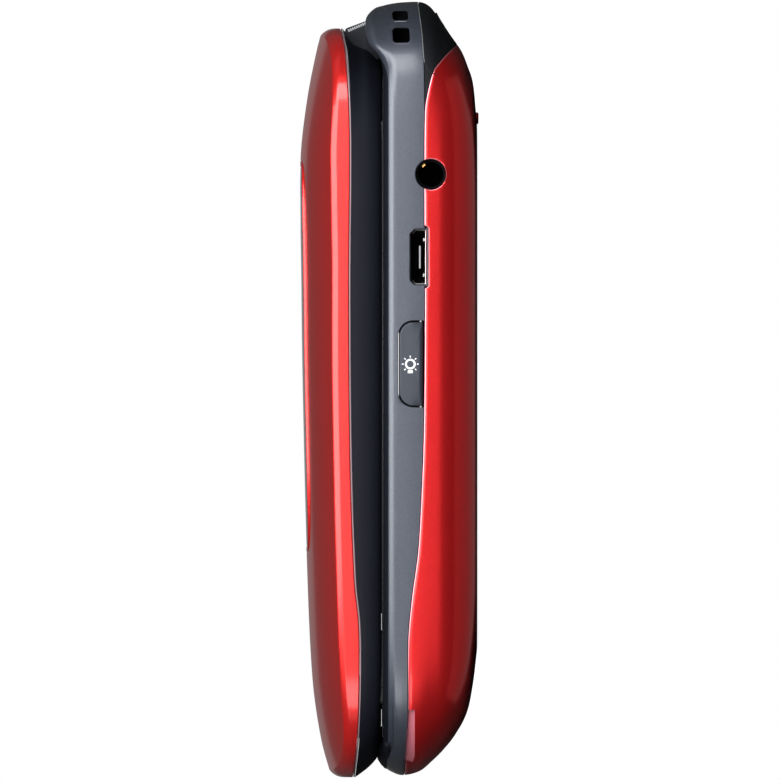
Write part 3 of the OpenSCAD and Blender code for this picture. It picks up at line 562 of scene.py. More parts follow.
class Value:
    """A shader socket in a Python expression: each operator adds its Math node."""

    def __init__(self, tree, socket):
        self.tree, self.socket = tree, socket

    def math(self, operation, *others):
        node = self.tree.nodes.new("ShaderNodeMath")
        node.operation = operation
        for place, value in zip(node.inputs, others):
            if isinstance(value, Value):
                self.tree.links.new(value.socket, place)
            else:
                place.default_value = value
        return Value(self.tree, node.outputs[0])

    def __add__(self, other):
        return self.math("ADD", self, other)

    def __radd__(self, other):
        return self.math("ADD", other, self)

    def __sub__(self, other):
        return self.math("SUBTRACT", self, other)

    def __rsub__(self, other):
        return self.math("SUBTRACT", other, self)

    def __mul__(self, other):
        return self.math("MULTIPLY", self, other)

    def __rmul__(self, other):
        return self.math("MULTIPLY", other, self)

    def __abs__(self):
        return self.math("ABSOLUTE", self)

    def __gt__(self, other):
        return self.math("GREATER_THAN", self, other)

    def __lt__(self, other):
        return self.math("LESS_THAN", self, other)

    def largest(self, other):
        return self.math("MAXIMUM", self, other)


class Finish:
    """One material: a Principled surface and what varies over it."""

    def __init__(self, name, **sockets):
        self.material = bpy.data.materials.new(name)
        self.material.use_nodes = True
        self.tree = self.material.node_tree
        self.surface = self.tree.nodes["Principled BSDF"]
        self.set(**sockets)
        self.place = self.node("ShaderNodeTexCoord", out="Object")

    def set(self, **sockets):
        """Sets or links the surface's sockets, named with _ for each space."""
        for name, value in sockets.items():
            self.feed(self.surface.inputs[name.replace("_", " ")], value)
        return self

    def feed(self, socket, value):
        if isinstance(value, Value):
            self.tree.links.new(value.socket, socket)
        elif isinstance(value, (tuple, list)) and len(value) == 3 and socket.type == "RGBA":
            socket.default_value = (*value, 1)
        else:
            socket.default_value = value

    def node(self, kind, settings=None, inputs=None, out=0):
        """Any node: its settings come first, then its sockets' values or links."""
        node = self.tree.nodes.new(kind)
        for name, value in (settings or {}).items():
            setattr(node, name, value)
        for name, value in (inputs or {}).items():
            self.feed(node.inputs[name], value)
        return Value(self.tree, node.outputs[out])

    def noise(self, scale, detail=3.0, rough=0.55, place=None):
        """Noise whose scale is in features per metre."""
        return self.node("ShaderNodeTexNoise", {"noise_dimensions": "3D"}, {
            "Vector": place or self.place, "Scale": scale, "Detail": detail, "Roughness": rough})

    def cells(self, scale, channel=0):
        """One random value for each Voronoi cell, whose scale is in cells per metre. Another
        channel gives other values."""
        colour = self.node("ShaderNodeTexVoronoi", {"feature": "F1"},
                           {"Vector": self.place, "Scale": scale}, "Color")
        return self.split(colour, channel)

    def split(self, value, axis):
        """One coordinate of a vector or channel of a colour."""
        return self.node("ShaderNodeSeparateXYZ", None, {"Vector": value}, axis)

    def blend(self, share, a, b):
        """Colour between a (share 0) and b (share 1)."""
        return self.node("ShaderNodeMix", {"data_type": "RGBA"}, {0: share, 6: a, 7: b}, 2)

    def bump(self, height, strength, distance, normal=None):
        inputs = {"Height": height, "Strength": strength, "Distance": distance}
        if normal is not None:
            inputs["Normal"] = normal
        return self.node("ShaderNodeBump", None, inputs)


def shade(colour, by):
    """A colour times a number."""
    return tuple(c * by for c in colour)


def lacquer(name, colour, metallic):
    """Metallic lacquer: fine flakes that differ in lightness and lean, a faint unevenness of
    the spray, and a clear coat with orange peel."""
    f = Finish(name, Metallic=metallic, Coat_Weight=0.7, Coat_Roughness=0.12, Coat_IOR=1.45,
               Specular_IOR_Level=0.35)
    flake = f.cells(14000)
    cloud = f.noise(60, 2)
    tone = f.blend(flake * 0.5 + cloud * 0.3, shade(colour, 0.82), shade(colour, 1.15))
    peel = f.noise(900, 2)
    f.set(Base_Color=tone, Roughness=0.27 + flake * 0.05 + cloud * 0.03)
    return f.set(Normal=f.bump(flake, 0.05, 0.00004, f.bump(peel, 0.06, 0.00015))).material


def flake_paint(name, colour):
    """Metallic grey paint: coarse bright and dark flakes in a satin binder."""
    f = Finish(name, Metallic=0.45, Specular_IOR_Level=0.6, Coat_Weight=0.7, Coat_Roughness=0.2)
    flake = f.cells(7500)
    fine = f.cells(16000, 1)
    cloud = f.noise(900, 4, 0.65)
    share = flake * 0.45 + fine * 0.35 + cloud * 0.2
    tone = f.blend(share, shade(colour, 0.74), shade(colour, 1.34))
    f.set(Base_Color=tone, Roughness=0.31 + flake * 0.10)
    return f.set(Normal=f.bump(share, 0.22, 0.00006)).material


def moulded(name, colour, rough=0.42, grain=0.12, scale=9000, **sockets):
    """Moulded plastic with a fine eroded texture and slight changes of gloss."""
    f = Finish(name, **sockets)
    texture = f.noise(scale, 3)
    cloud = f.noise(120, 2)
    tone = f.blend(cloud, shade(colour, 0.85), shade(colour, 1.15))
    f.set(Base_Color=tone, Roughness=rough + texture * 0.08 + cloud * 0.04)
    return f.set(Normal=f.bump(texture, grain, 0.00005)).material


def metal(name, colour, rough=0.25, brush=0.1):
    """Metal with fine draw marks along the phone."""
    f = Finish(name, Metallic=1.0)
    place = f.node("ShaderNodeMapping", None, {"Vector": f.place, "Scale": (6000, 300, 6000)})
    marks = f.noise(1, 4, place=place)
    f.set(Base_Color=f.blend(marks, shade(colour, 0.85), shade(colour, 1.1)),
          Roughness=rough + marks * 0.15)
    return f.set(Normal=f.bump(marks, brush, 0.00003)).material


def dark_window(name, panel_x, panel_y):
    """Dark window with the edge of a printed mask round a slightly lighter panel behind it."""
    f = Finish(name, Coat_Weight=1.0, Coat_Roughness=0.02, Specular_IOR_Level=0.5)
    x, y = abs(f.split(f.place, 0)), f.split(f.place, 1)
    middle = (panel_y[0] + panel_y[1]) / 2
    inside = (x < panel_x * MM) * (abs(y - middle * MM) < (panel_y[1] - panel_y[0]) / 2 * MM)
    dots = f.cells(4000)
    f.set(Base_Color=f.blend(inside, (0.004, 0.0045, 0.006), (0.012, 0.014, 0.019)),
          Roughness=0.06 + inside * 0.05 + dots * 0.01)
    return f.material


def circuit_board(name):
    """Solder mask over copper: cells that differ in lightness, and pale tracks where a noise is
    close to its middle."""
    f = Finish(name, Specular_IOR_Level=0.5)
    tracks = abs(f.noise(1400, 1) - 0.5) < 0.04
    share = f.cells(260) * 0.5 + tracks * 0.5
    f.set(Base_Color=f.blend(share, (0.008, 0.06, 0.03), (0.03, 0.16, 0.075)),
          Roughness=0.35 + share * 0.15)
    return f.material


class Finishes:
    """All finishes, made once."""

    def __init__(self):
        c = bpy.context.scene.phone_colours
        red, grey, black, key = (tuple(x) for x in (c.red, c.grey, c.black, c.key))
        self.red = lacquer("red lacquer", red, 0.55)
        # The back cover gets a darker copy of the lid's red: painted shade.
        self.shaded_back_red = lacquer("red lacquer of the back", tuple(c.shaded_back_red), 0.74)
        # Paler, pinker copy of the red lacquer for the back cover's bevel and the mouths of its
        # sockets: a painted highlight.
        self.bevel_highlight_red = lacquer("red lacquer on the bevel", (0.90, 0.26, 0.30), 0.7)
        # Paler, rougher red in the fingernail notch.
        self.notch = moulded("bare red plastic", (0.55, 0.16, 0.20), 0.6, 0.5, 5000)
        self.grey = flake_paint("grey flake paint", grey)
        self.black = moulded("satin black plastic", black, 0.48, 0.10, Specular_IOR_Level=0.18)
        self.gloss_black = moulded("gloss black plastic", (0.006, 0.006, 0.008), 0.12, 0.02)
        # Pale colour of the strip along the lid's seam: a painted highlight.
        self.bead = moulded("pale bead", (0.30, 0.20, 0.22), 0.35, 0.02, Metallic=0.3)
        self.pale = moulded("pale trim", (0.33, 0.34, 0.36), 0.35, 0.02, Metallic=0.3)
        self.key = moulded("key plastic", key, 0.30, 0.06, Coat_Weight=0.3, Coat_Roughness=0.2)
        self.side_key = moulded("side key plastic", shade(grey, 0.72), 0.34, 0.03, Metallic=0.35)
        self.green = moulded("green key", (0.02, 0.20, 0.06), 0.3, 0.05)
        self.end_red = moulded("red key", (0.36, 0.02, 0.025), 0.3, 0.05)
        self.white = moulded("white print", (0.86, 0.87, 0.88), 0.5, 0.02)
        self.legend = moulded("key legend", (0.62, 0.66, 0.72), 0.45, 0.02)
        self.rubber = moulded("rubber", (0.012, 0.012, 0.013), 0.7, 0.3, 6000)
        # Near black without gloss, blacker than the black plastic: painted shade inside the eyelets and
        # the two sockets.
        self.shade_black = moulded("black of the openings", (0.003, 0.003, 0.004), 0.6, 0.05,
                              Specular_IOR_Level=0.05)
        self.chrome = metal("bright trim", (0.72, 0.74, 0.77), 0.10, 0.03)
        self.steel = metal("steel", (0.60, 0.59, 0.57), 0.22, 0.12)
        self.gold = metal("gold plate", (0.83, 0.50, 0.17), 0.2, 0.05)
        self.window = dark_window("outer window", 9, (-19, 17))
        self.screen = dark_window("main window", 18.4, (-32, 20))
        self.board = circuit_board("circuit board")
        self.cap = moulded("black cap", (0.0068, 0.0080, 0.0100), 0.45, 0.15, Specular_IOR_Level=0.22)
        self.film = moulded("amber film", (0.40, 0.20, 0.035), 0.3, 0.03)
        self.wrap = moulded("battery wrap", (0.03, 0.045, 0.08), 0.35, 0.04)
        self.lamp = moulded("lamp phosphor", (0.78, 0.74, 0.5), 0.4, 0.02)
        self.lens = moulded("clear lens", (0.62, 0.66, 0.70), 0.08, 0.01, Transmission_Weight=0.85)


# The finish of each frame node that stays as it is
NODE_FINISH = {
    "gloss_black": ["camera_module", "outer_display_module"],
    "steel": ["earpiece_mesh", "lid_screws", "hinge_cartridge", "shield_cans", "sim_holder",
              "vibration_motor", "microphone", "hinge_brackets", "hinge_pins", "base_screws",
              "main_display_module", "speaker_mesh"],
    "board": ["lid_circuit_board", "main_circuit_board"],
    "black": ["keypad_fascia", "rear_housing", "earpiece_speaker", "loudspeaker"],
    "rubber": ["lid_bumpers", "lid_screw_plugs"],
    "film": ["display_flex_cable", "keypad_membrane"],
    "wrap": ["battery"],
    "gold": ["battery_contacts", "antenna"],
    "lamp": ["torch_led"],
    "lens": ["torch_lens"],
    "screen": ["main_display_lens"],
}


@functools.lru_cache(None)
def finishes():
    """The finishes, which the first operator that asks for them makes."""
    return Finishes()


# ---- Operators: one for each piece or group of pieces ----


class Piece(bpy.types.Operator):
    """Shared form of the operators."""

    bl_options = {"REGISTER"}

    def execute(self, context):
        self.make(context.scene.phone_sizes, finishes())
        return {"FINISHED"}


class PHONE_OT_lid_cover(Piece):
    """Red outer shell of the lid: a side band, a rounding that ends in a crease, and the crown,
    which runs in to the outer window."""

    bl_idname = "phone.lid_cover"
    bl_label = "Lid cover"

    def make(self, sizes, looks):
        e = END_SHARE
        r = sizes.crease_r * (1 - e) + 2.4 * e
        small_r = 0.15
        a = np.radians(27 + 28 * e)
        b = np.radians(73 + 5 * e)
        seam = curve(lid_xy()[:, 1], LID_SEAM) + 0.03
        crease = r * (1 - np.cos(a))
        edge = crease + small_r * (np.cos(a) - np.cos(b))
        rim = lid_xy(edge)
        sunk = 0.09
        z = crown_z(rim) - sunk
        rows = [ring(lid_xy(WALL), seam), ring(lid_xy(0.12), seam), ring(lid_xy(), seam + 0.12)]
        foot_z = z - small_r * (np.sin(b) - np.sin(a)) - r * np.sin(a)
        for t in np.linspace(0, 1, 10):
            rows.append(ring(lid_xy(r * (1 - np.cos(a * t))), foot_z + r * np.sin(a * t)))
        for t in np.linspace(0, 1, 5)[1:]:
            at = a + (b - a) * t
            rows.append(ring(lid_xy(crease + small_r * (np.cos(a) - np.cos(at))),
                             z - small_r * (np.sin(b) - np.sin(at))))
        hole = window_outline(-0.05)
        for f in np.linspace(0, 1, 30)[1:] ** 1.5:
            xy = rim * (1 - f) + hole * f
            rows.append(ring(xy, crown_z(xy) - sunk * (1 - f) ** 6))
        rows.append(ring(hole, crown_z(hole) - 1))
        for f in (0.95, 0.7, 0.45, 0.2):
            xy = lid_xy(WALL) * (1 - f) + hole * f
            rows.append(ring(xy, crown_z(xy) - WALL))
        Form().rows(rows, loop=True).piece(
            "red_lid_cover", "lid", [looks.red], ["lid_cover"], "red_lacquer")
        # Thin pale strip just under the lid's seam: its pale colour is a painted highlight on the edge
        # there.
        bead = Form().rows([ring(lid_xy(i), seam + h) for i, h in (
            (0.6, -0.26), (0.05, -0.26), (0.0, -0.22), (0.0, -0.1), (0.05, -0.06), (0.6, -0.06))],
            loop=True)
        bead.piece("lid_seam_bead", "lid", [looks.bead], slot="bright_trim")


class PHONE_OT_outer_window(Piece):
    """Outer display: its raised rim, its window, and the camera's ring and lens."""

    bl_idname = "phone.outer_window"
    bl_label = "Outer window"

    def make(self, sizes, looks):
        rim = [(0, -1.1), (0, -0.1), (0.03, -0.03), (0.1, 0.0), (0.45, 0.02), (0.8, 0.0),
               (0.88, -0.04), (0.9, -0.1), (0.9, -1.1)]
        rows = [ring(window_outline(i), window_z(window_outline(i)) + h) for i, h in rim]
        Form().rows(rows, loop=True).piece(
            "outer_window_rim", "lid", [looks.red], ["outer_display_bezel"], "red_lacquer")
        rows = [ring(window_outline(i), window_z(window_outline(i)) + h)
                for i, h in ((0.95, -1.4), (0.95, -0.12), (0.98, -0.06), (1.05, -0.03))]
        middle = np.array([0, sum(WINDOW_Y) / 2])
        for share in np.linspace(1, 0.04, 16)[1:]:
            xy = middle + (window_outline(1.05) - middle) * share
            rows.append(ring(xy, window_z(xy) - 0.03))
        Form().rows(rows).piece(
            "outer_window_glass", "lid", [looks.window], ["outer_display_lens"], "dark_window",
            cuts=[upright(circle(3.25, (0, CAMERA_Y), 96), 20, 27)])
        ring_profile = [(3.2, 23.5), (3.2, 25.15), (3.16, 25.24), (3.05, 25.28), (2.8, 25.28),
                        (2.7, 25.22), (2.05, 24.85), (1.98, 24.7), (1.98, 23.5)]
        Form().rows([ring(circle(r, (0, CAMERA_Y), 96), z) for r, z in ring_profile], loop=True).piece(
            "camera_trim", "lid", [looks.chrome], ["camera_ring"], "bright_trim")
        dome = [(1.96, 24.3), (1.96, 24.72), (1.6, 24.86), (1.1, 24.97), (0.5, 25.03), (0.1, 25.04)]
        Form().rows([ring(circle(r, (0, CAMERA_Y), 48), z) for r, z in dome]).piece(
            "camera_glass", "lid", [looks.gloss_black], slot="dark_window")


class PHONE_OT_lid_housing(Piece):
    """Black inner housing of the lid, with the knuckle that it turns on and the ribbed strips
    beside its neck."""

    bl_idname = "phone.lid_housing"
    bl_label = "Lid housing"

    def make(self, sizes, looks):
        steps = (0, 0.012, 0.03, 0.06, 0.1, 0.15, 0.21, 0.28, 0.36, 0.45, 0.54, 0.63, 0.72, 0.81,
                 0.89, 0.95, 1)
        rows = [frame_ring(f) - (0, 0, 0.27 * f) for f in steps]
        rows += [frame_ring(1, WALL) - (0, 0, 0.27), frame_ring(0.6, WALL + 0.1),
                 ring(OUTLINE * (HALF_W - 2.8, 48.75) - (0, 2.65), 15.6)]
        pockets = upright(rectangle((-22.65, 22.65), (-49.05, 37.05), 4.05), 12.8, 14.8)
        for side in (-1, 1):
            upright(rectangle(sorted((side * 23.45, side * 25.15)), (-44.55, -35.15), 0.75), 12.8,
                    14.2, form=pockets)
            upright(circle(2.05, (side * 18, 41.5), 48), 12.8, 15.55, form=pockets)
        openings = upright(rectangle((-19, 19), (-34, 22), 1), 14.5, 16.6)
        upright(rectangle((-5.5, 5.5), (-45.9, -44.1), 0.85), 14.5, 16.6, form=openings)
        # Relief beside the neck, which clears the antenna cap when the lid is open
        for side in (-1, 1):
            across(rectangle((48.7, 52.5), (17.2, 19.7), 0.2), side * 15.25, side * 16.7, form=openings)
        Form().rows(rows).piece("lid_inner_housing", "lid", [looks.black], ["lid_frame"],
                                "black_plastic", cuts=[pockets, openings])
        gasket = Form()
        for x, y, top in GASKET:
            for side in (-1, 1):
                upright(rectangle(sorted((side * x, side * (x + 0.7))), y, 0.2), 13.6, top,
                        form=gasket)
        gasket.piece("lid_gasket", "lid", [looks.rubber], slot="rubber")
        neck = rounded_polygon([
            [45.4, 14.3, 0.2], [47.1, 14.2, 0.4], [47.75, 13.5, 0.3], [51, 12.6, 0.3],
            [52.4, 15.75, 1.2], [51.2, 18.95, 0.5], [49.8, 18.95, 0.3], [48, 17.2, 0.6],
            [45.4, 15.9, 0.2]])
        across(neck, -KNUCKLE_HALF, KNUCKLE_HALF).piece(
            "lid_knuckle", "lid", [looks.black], slot="black_plastic",
            joins=[across(circle(KNUCKLE_R, (HINGE_Y, HINGE_Z), 128), -KNUCKLE_HALF, KNUCKLE_HALF)],
            cuts=[across(circle(1.55, (HINGE_Y, HINGE_Z), 48), -KNUCKLE_HALF - 1, -9),
                  across(circle(1.55, (HINGE_Y, HINGE_Z), 48), 9, KNUCKLE_HALF + 1)])
        ribs = Form()
        start, stop = np.array([50.95, 18.4]), np.array([51.95, 16.1])
        along = (stop - start) / np.linalg.norm(stop - start)
        aside = np.array([-along[1], along[0]])
        for side in (-1, 1):
            for f in np.linspace(0, 1, 9):
                p = start + (stop - start) * f
                rib = [p + along * u + aside * v for u, v in
                       ((-0.09, -0.18), (0.09, -0.18), (0.09, 0.18), (-0.09, 0.18))]
                across(np.array(rib), side * 14.9, side * 15.12, form=ribs)
        ribs.piece("neck_ribs", "lid", [looks.pale], slot="bright_trim")


class PHONE_OT_front_housing(Piece):
    """Grey housing of the base with its hinge ears, carved for the knuckle, the sockets, the
    side keys, the strap eyelets and the torch. With it come the trough under the knuckle, the
    black surround of the keypad, which also paints the shade under the lid, and the lip at the foot
    end."""

    bl_idname = "phone.front_housing"
    bl_label = "Front housing"

    def make(self, sizes, looks):
        share = OUTLINE[:, 1]
        low = housing_edge(share) + 0.03
        foot_z = np.full(len(share), 13.57)
        outer = base_ring(foot_z)[:, :2]
        normal = outline_normals(outer)
        r = sizes.top_r * (1 - 0.88 * END_SHARE ** 4)
        top = curve(outer[:, 1], BASE_TOP)
        start = np.maximum(top - r, low + 0.3)
        r = top - start
        rows = [base_ring(12.37, WALL + 0.4), base_ring(low, WALL), base_ring(low, 0.12),
                base_ring(low + 0.12)]
        for f in np.linspace(0, 1, 9)[1:]:
            rows.append(base_ring(low + 0.12 + f * (start - low - 0.12)))
        for t in np.linspace(0, math.pi / 2, 12)[1:]:
            xy = outer - normal * (r * (1 - math.cos(t)))[:, None]
            rows.append(ring(xy, curve(xy[:, 1], BASE_TOP) - r * (1 - math.sin(t))))
        rim = rows[-1][:, :2]
        pad = box_outline(*PAD_HALF, 5.1, PAD_MIDDLE)
        for f in np.concatenate([np.linspace(0, 0.5, 52)[1:], (0.6, 0.75, 0.9, 0.985, 1)]):
            xy = rim * (1 - f) + pad * f
            rows.append(ring(xy, curve(xy[:, 1], BASE_TOP) - (0.1 if f == 1 else 0)))
        rows.append(ring(pad, 12.37))
        # Side view of the room that the knuckle and the neck need
        turn = np.radians(np.linspace(180, 270, 40))
        arc = np.column_stack([HINGE_Y + 3.85 * np.cos(turn), HINGE_Z + 3.85 * np.sin(turn)])
        room = np.concatenate([[[44.9, 17.5], [44.9, 13.575], [47.15, 13.575]], arc,
                               [[51, 7.5], [58, 7.5], [58, 17.5]]])
        ear = Form()
        for side in (-1, 1):
            y = np.linspace(47.8, 54.2, 24)
            x = np.maximum(flank_x(y, 10.6) - 0.5, 18.4)
            plan = np.concatenate([np.column_stack([x, y]), [[18.2, 54.2], [18.2, 47.8]]])
            upright(plan * (side, 1), 8.8, 12.9, form=ear)
        turn = np.radians(np.linspace(177.5, 264, 36))
        trough = np.concatenate([
            [[HINGE_Y + 4.85 * math.cos(t), HINGE_Z + 4.85 * math.sin(t)] for t in turn],
            [[HINGE_Y + 3.86 * math.cos(t), HINGE_Z + 3.86 * math.sin(t)] for t in turn[::-1]]])
        mouths = Form()
        m = sizes.mouth_r
        mouth_cutter(circle(JACK_HOLE_R, JACK, 96), 22, m, form=mouths)
        y, z = USB_Y, USB_Z
        mouth_cutter(rounded_polygon([
            [y[0], z[0] - 0.4, 0.05], [y[1], z[0] - 0.4, 0.05], [y[1], z[1] - 0.65, 0.3],
            [y[1] - 0.65, z[1], 0.3], [y[0] + 0.65, z[1], 0.3], [y[0], z[1] - 0.65, 0.3]]), 23, m,
            form=mouths)
        mouth_cutter(torch_outline(0.16), 24, 0.08, form=mouths)
        # The eyelets' inner walls take the near black: painted shade in the holes.
        for corners in EYELETS:
            mouth_cutter(rounded_polygon(corners), EYELET_FLOOR_X, 1.3 * m, form=mouths,
                         slot=[0] * 6 + [1])
        y, z = ((low - 0.2, high + 0.2) for low, high in (VOLUME_Y, VOLUME_Z))
        mouth_cutter(rectangle(y, z, 1.68), 24, m, side=-1, form=mouths)
        # Hole of the microphone, and the one of the torch through the hinge end
        upright(circle(0.6, (0, -49), 32), 12, 14, form=mouths)
        hole = circle(1.75, TORCH_LAMP, 64)
        mouths.rows([np.column_stack([hole[:, 0], np.full(64, y), hole[:, 1]]) for y in (46, 57)])
        # Tunnel behind the bar between the two eyelets
        link = across(np.array([(50, 10.2), (53, 10.2), (53, 12), (50, 12)]), EYELET_FLOOR_X, 19.6)
        Form().rows(rows, loop=True).piece(
            "grey_housing", "base", [looks.grey, looks.shade_black], ["front_housing"], "grey_flake_paint",
            joins=[ear], cuts=[across(room, -EAR_X, EAR_X), mouths, link])
        across(trough, -EAR_X, EAR_X).piece("hinge_trough", "base", [looks.grey],
                                            slot="grey_flake_paint")
        # Black surround of the keypad: a skin over the upper part of the rounding, which narrows
        # and runs out up the ears. How far down the rounding and up the ears it reaches follows the
        # dark band under the lid, so its black is partly painted shade.
        skin = []
        first = np.radians(31 + 55 * smooth_step((outer[:, 1] - 43.5) / 5.5))
        for lift in (0.02, -0.06):
            line = []
            for f in np.linspace(0, 1, 9):
                t = first * (1 - f) + math.pi / 2 * f
                xy = outer - normal * (r * (1 - np.cos(t)) - lift * np.cos(t))[:, None]
                z = curve(xy[:, 1], BASE_TOP) - r * (1 - np.sin(t)) + lift * np.sin(t)
                line.append(ring(xy, z))
            xy = outer - normal * (r + 0.8)[:, None]
            line.append(ring(xy, curve(xy[:, 1], BASE_TOP) + lift))
            skin += line if lift > 0 else line[::-1]
        n = len(OUTLINE)
        reach = int(np.searchsorted(outer[:n // 4, 1], 48.6))
        chain = np.arange(n // 2 - reach, n + reach + 1) % n
        Form().rows(np.array(skin).transpose(1, 0, 2)[chain]).piece(
            "keypad_surround", "base", [looks.black], slot="black_plastic")
        # Low black lip along the foot end, under the rounding of the lid, which fills the gap there:
        # its black is partly painted shade of that gap
        foot = outer[:, 1].min()
        at_foot = n // 2 + np.flatnonzero(outer[n // 2:, 1] < -50)
        fade = smooth_step((-50.2 - outer[:, 1]) / 2.4)
        lip = [ring(outer - normal * (y - foot), min(z, 13.3) + max(z - 13.3, 0) * fade)
               for y, z in FOOT_LIP]
        Form().rows(np.array(lip).transpose(1, 0, 2)[at_foot]).piece(
            "foot_lip", "base", [looks.black], slot="black_plastic")


class PHONE_OT_back(Piece):
    """Red back cover, with a bevel along its edge, the relief round the sockets, the fingernail
    notch, the rib and the loudspeaker's slots."""

    bl_idname = "phone.back"
    bl_label = "Back cover"

    def make(self, sizes, looks):
        edge = cover_edge(OUTLINE[:, 1])
        w = sizes.edge_bevel
        rise = 1 - np.sin(np.linspace(math.pi / 2, 0, 34))
        rows = [base_ring(FLAT_Z + f * (edge - w - FLAT_Z)) for f in rise]
        rows += [base_ring(edge, 0.4 * w), base_ring(edge, WALL)]
        for f in (0.6, 0.25, 0):
            rows.append(base_ring(1.4 + f * (edge - 1.4), WALL + 0.8 * (1 - f) ** 3))
        # The band of the edge's bevel takes the paler lacquer: a painted highlight along it.
        bands = [0] * (len(rise) - 1) + [1] + [0] * 6
        mouths = Form()
        m = sizes.mouth_r
        # The roundings of the mouths take the paler lacquer too: a painted highlight round the holes.
        rim = [0] + [1] * 5 + [0]
        mouth_cutter(circle(JACK_HOLE_R, JACK, 96), 22, m, form=mouths, slot=rim)
        y = USB_Y
        mouth_cutter(rounded_polygon([[y[0] - 0.45, 7.5, 0.1], [y[0] - 0.15, 7.15, 0.1],
                                      [y[1] + 0.15, 7.15, 0.1], [y[1] + 0.45, 7.5, 0.1],
                                      [y[1] + 0.45, 10, 0.3], [y[0] - 0.45, 10, 0.3]]), 23, m,
                     form=mouths, slot=rim)
        # The loudspeaker's slots
        for i in range(-2, 3):
            at = 30.5 + i * 1.7
            upright(rectangle((-14, -4), (at - 0.4, at + 0.4), 0.39), -1, 3, form=mouths)
        # The fingernail notch, whose lower edge rises towards the foot end
        y = np.linspace(*PRY_NOTCH, 30)
        x = flank_x(y, 10)
        lift = 9.07 + 0.25 * smooth_step((-51.6 - y) / 1.2)
        notch = Form().rows([
            [[a - 0.8, b, c], [a + 1, b, c], [a + 1, b, 12], [a - 0.8, b, 12]]
            for a, b, c in zip(x, y, lift)], 2)
        ridge = [ring(rectangle((-9 + i, 9 - i), (37.8 + i, 39.4 - i), 0.74 - i), h)
                 for i, h in ((0, 1), (0, 0.2), (0.04, 0.08), (0.14, 0.0))]
        Form().rows(rows, bands).piece(
            "red_back_cover", "battery_cover", [looks.shaded_back_red, looks.bevel_highlight_red, looks.notch],
            ["battery_cover"], "red_lacquer_back", joins=[Form().rows(ridge)], cuts=[mouths, notch])


class PHONE_OT_antenna_cap(Piece):
    """Black cap between the grey housing and the back at the hinge end, with its seam."""

    bl_idname = "phone.antenna_cap"
    bl_label = "Antenna cap"

    def make(self, sizes, looks):
        n = len(OUTLINE)
        low, high = cover_edge(OUTLINE[:, 1]) + 0.05, housing_edge(OUTLINE[:, 1]) - 0.02
        first = next(i for i in range(n // 4) if high[i] - low[i] > 0.03)
        span = np.arange(first, n // 2 - first + 1)
        steps = np.linspace(0, 1, 22)
        slices = []
        for inset, shares in ((0.0, steps), (WALL, steps[::-3])):
            slices += [base_ring(low + f * (high - low), inset)[span] for f in shares]
        rows = np.array(slices).transpose(1, 0, 2)
        swing = np.array([[HINGE_Y - 0.15, 8.55], [53.4, 6.2], [54.6, 4.2], [60, 4.2], [60, 9.5],
                          [HINGE_Y - 0.15, 9.5]])
        Form().rows(rows).piece("antenna_cap", "base", [looks.cap], ["antenna_cover"],
                                "black_plastic", cuts=[across(swing, -EAR_X, EAR_X)])
        slope = np.array([[HINGE_Y - 0.15, 8.5], [53.4, 6.15], [52.6, 5.7], [HINGE_Y - 0.15, 7.3]])
        across(slope, -EAR_X, EAR_X).piece("antenna_slope", "base", [looks.cap],
                                           slot="black_plastic")
        # The seam runs from under the ear along the grey edge and curves down to the red edge
        seam = np.array([[54.9, 8.6], [53.8, 8.42], [52.4, 8.22], [50.5, 7.98], [48.2, 7.8],
                         [46.8, 7.68], [46.1, 7.56], [45.5, 7.3], [45.0, 6.9], [44.75, 6.45],
                         [44.65, 6.0]])
        t = np.linspace(0, len(seam) - 1, 60)
        y = curve(t, np.column_stack([np.arange(len(seam)), seam[:, 0]]))
        z = curve(t, np.column_stack([np.arange(len(seam)), seam[:, 1]]))
        dark, pale = Form(), Form()
        for side in (-1, 1):
            dark.tube(np.column_stack([side * (flank_x(y, z) - 0.01), y, z]), 0.06)
            y1, z1 = y[:34], z[:34] + 0.09
            pale.tube(np.column_stack([side * (flank_x(y1, z1) - 0.01), y1, z1]), 0.035)
        dark.piece("antenna_cap_groove", "base", [looks.rubber], slot="black_plastic")
        pale.piece("antenna_cap_seam", "base", [looks.pale], slot="bright_trim")


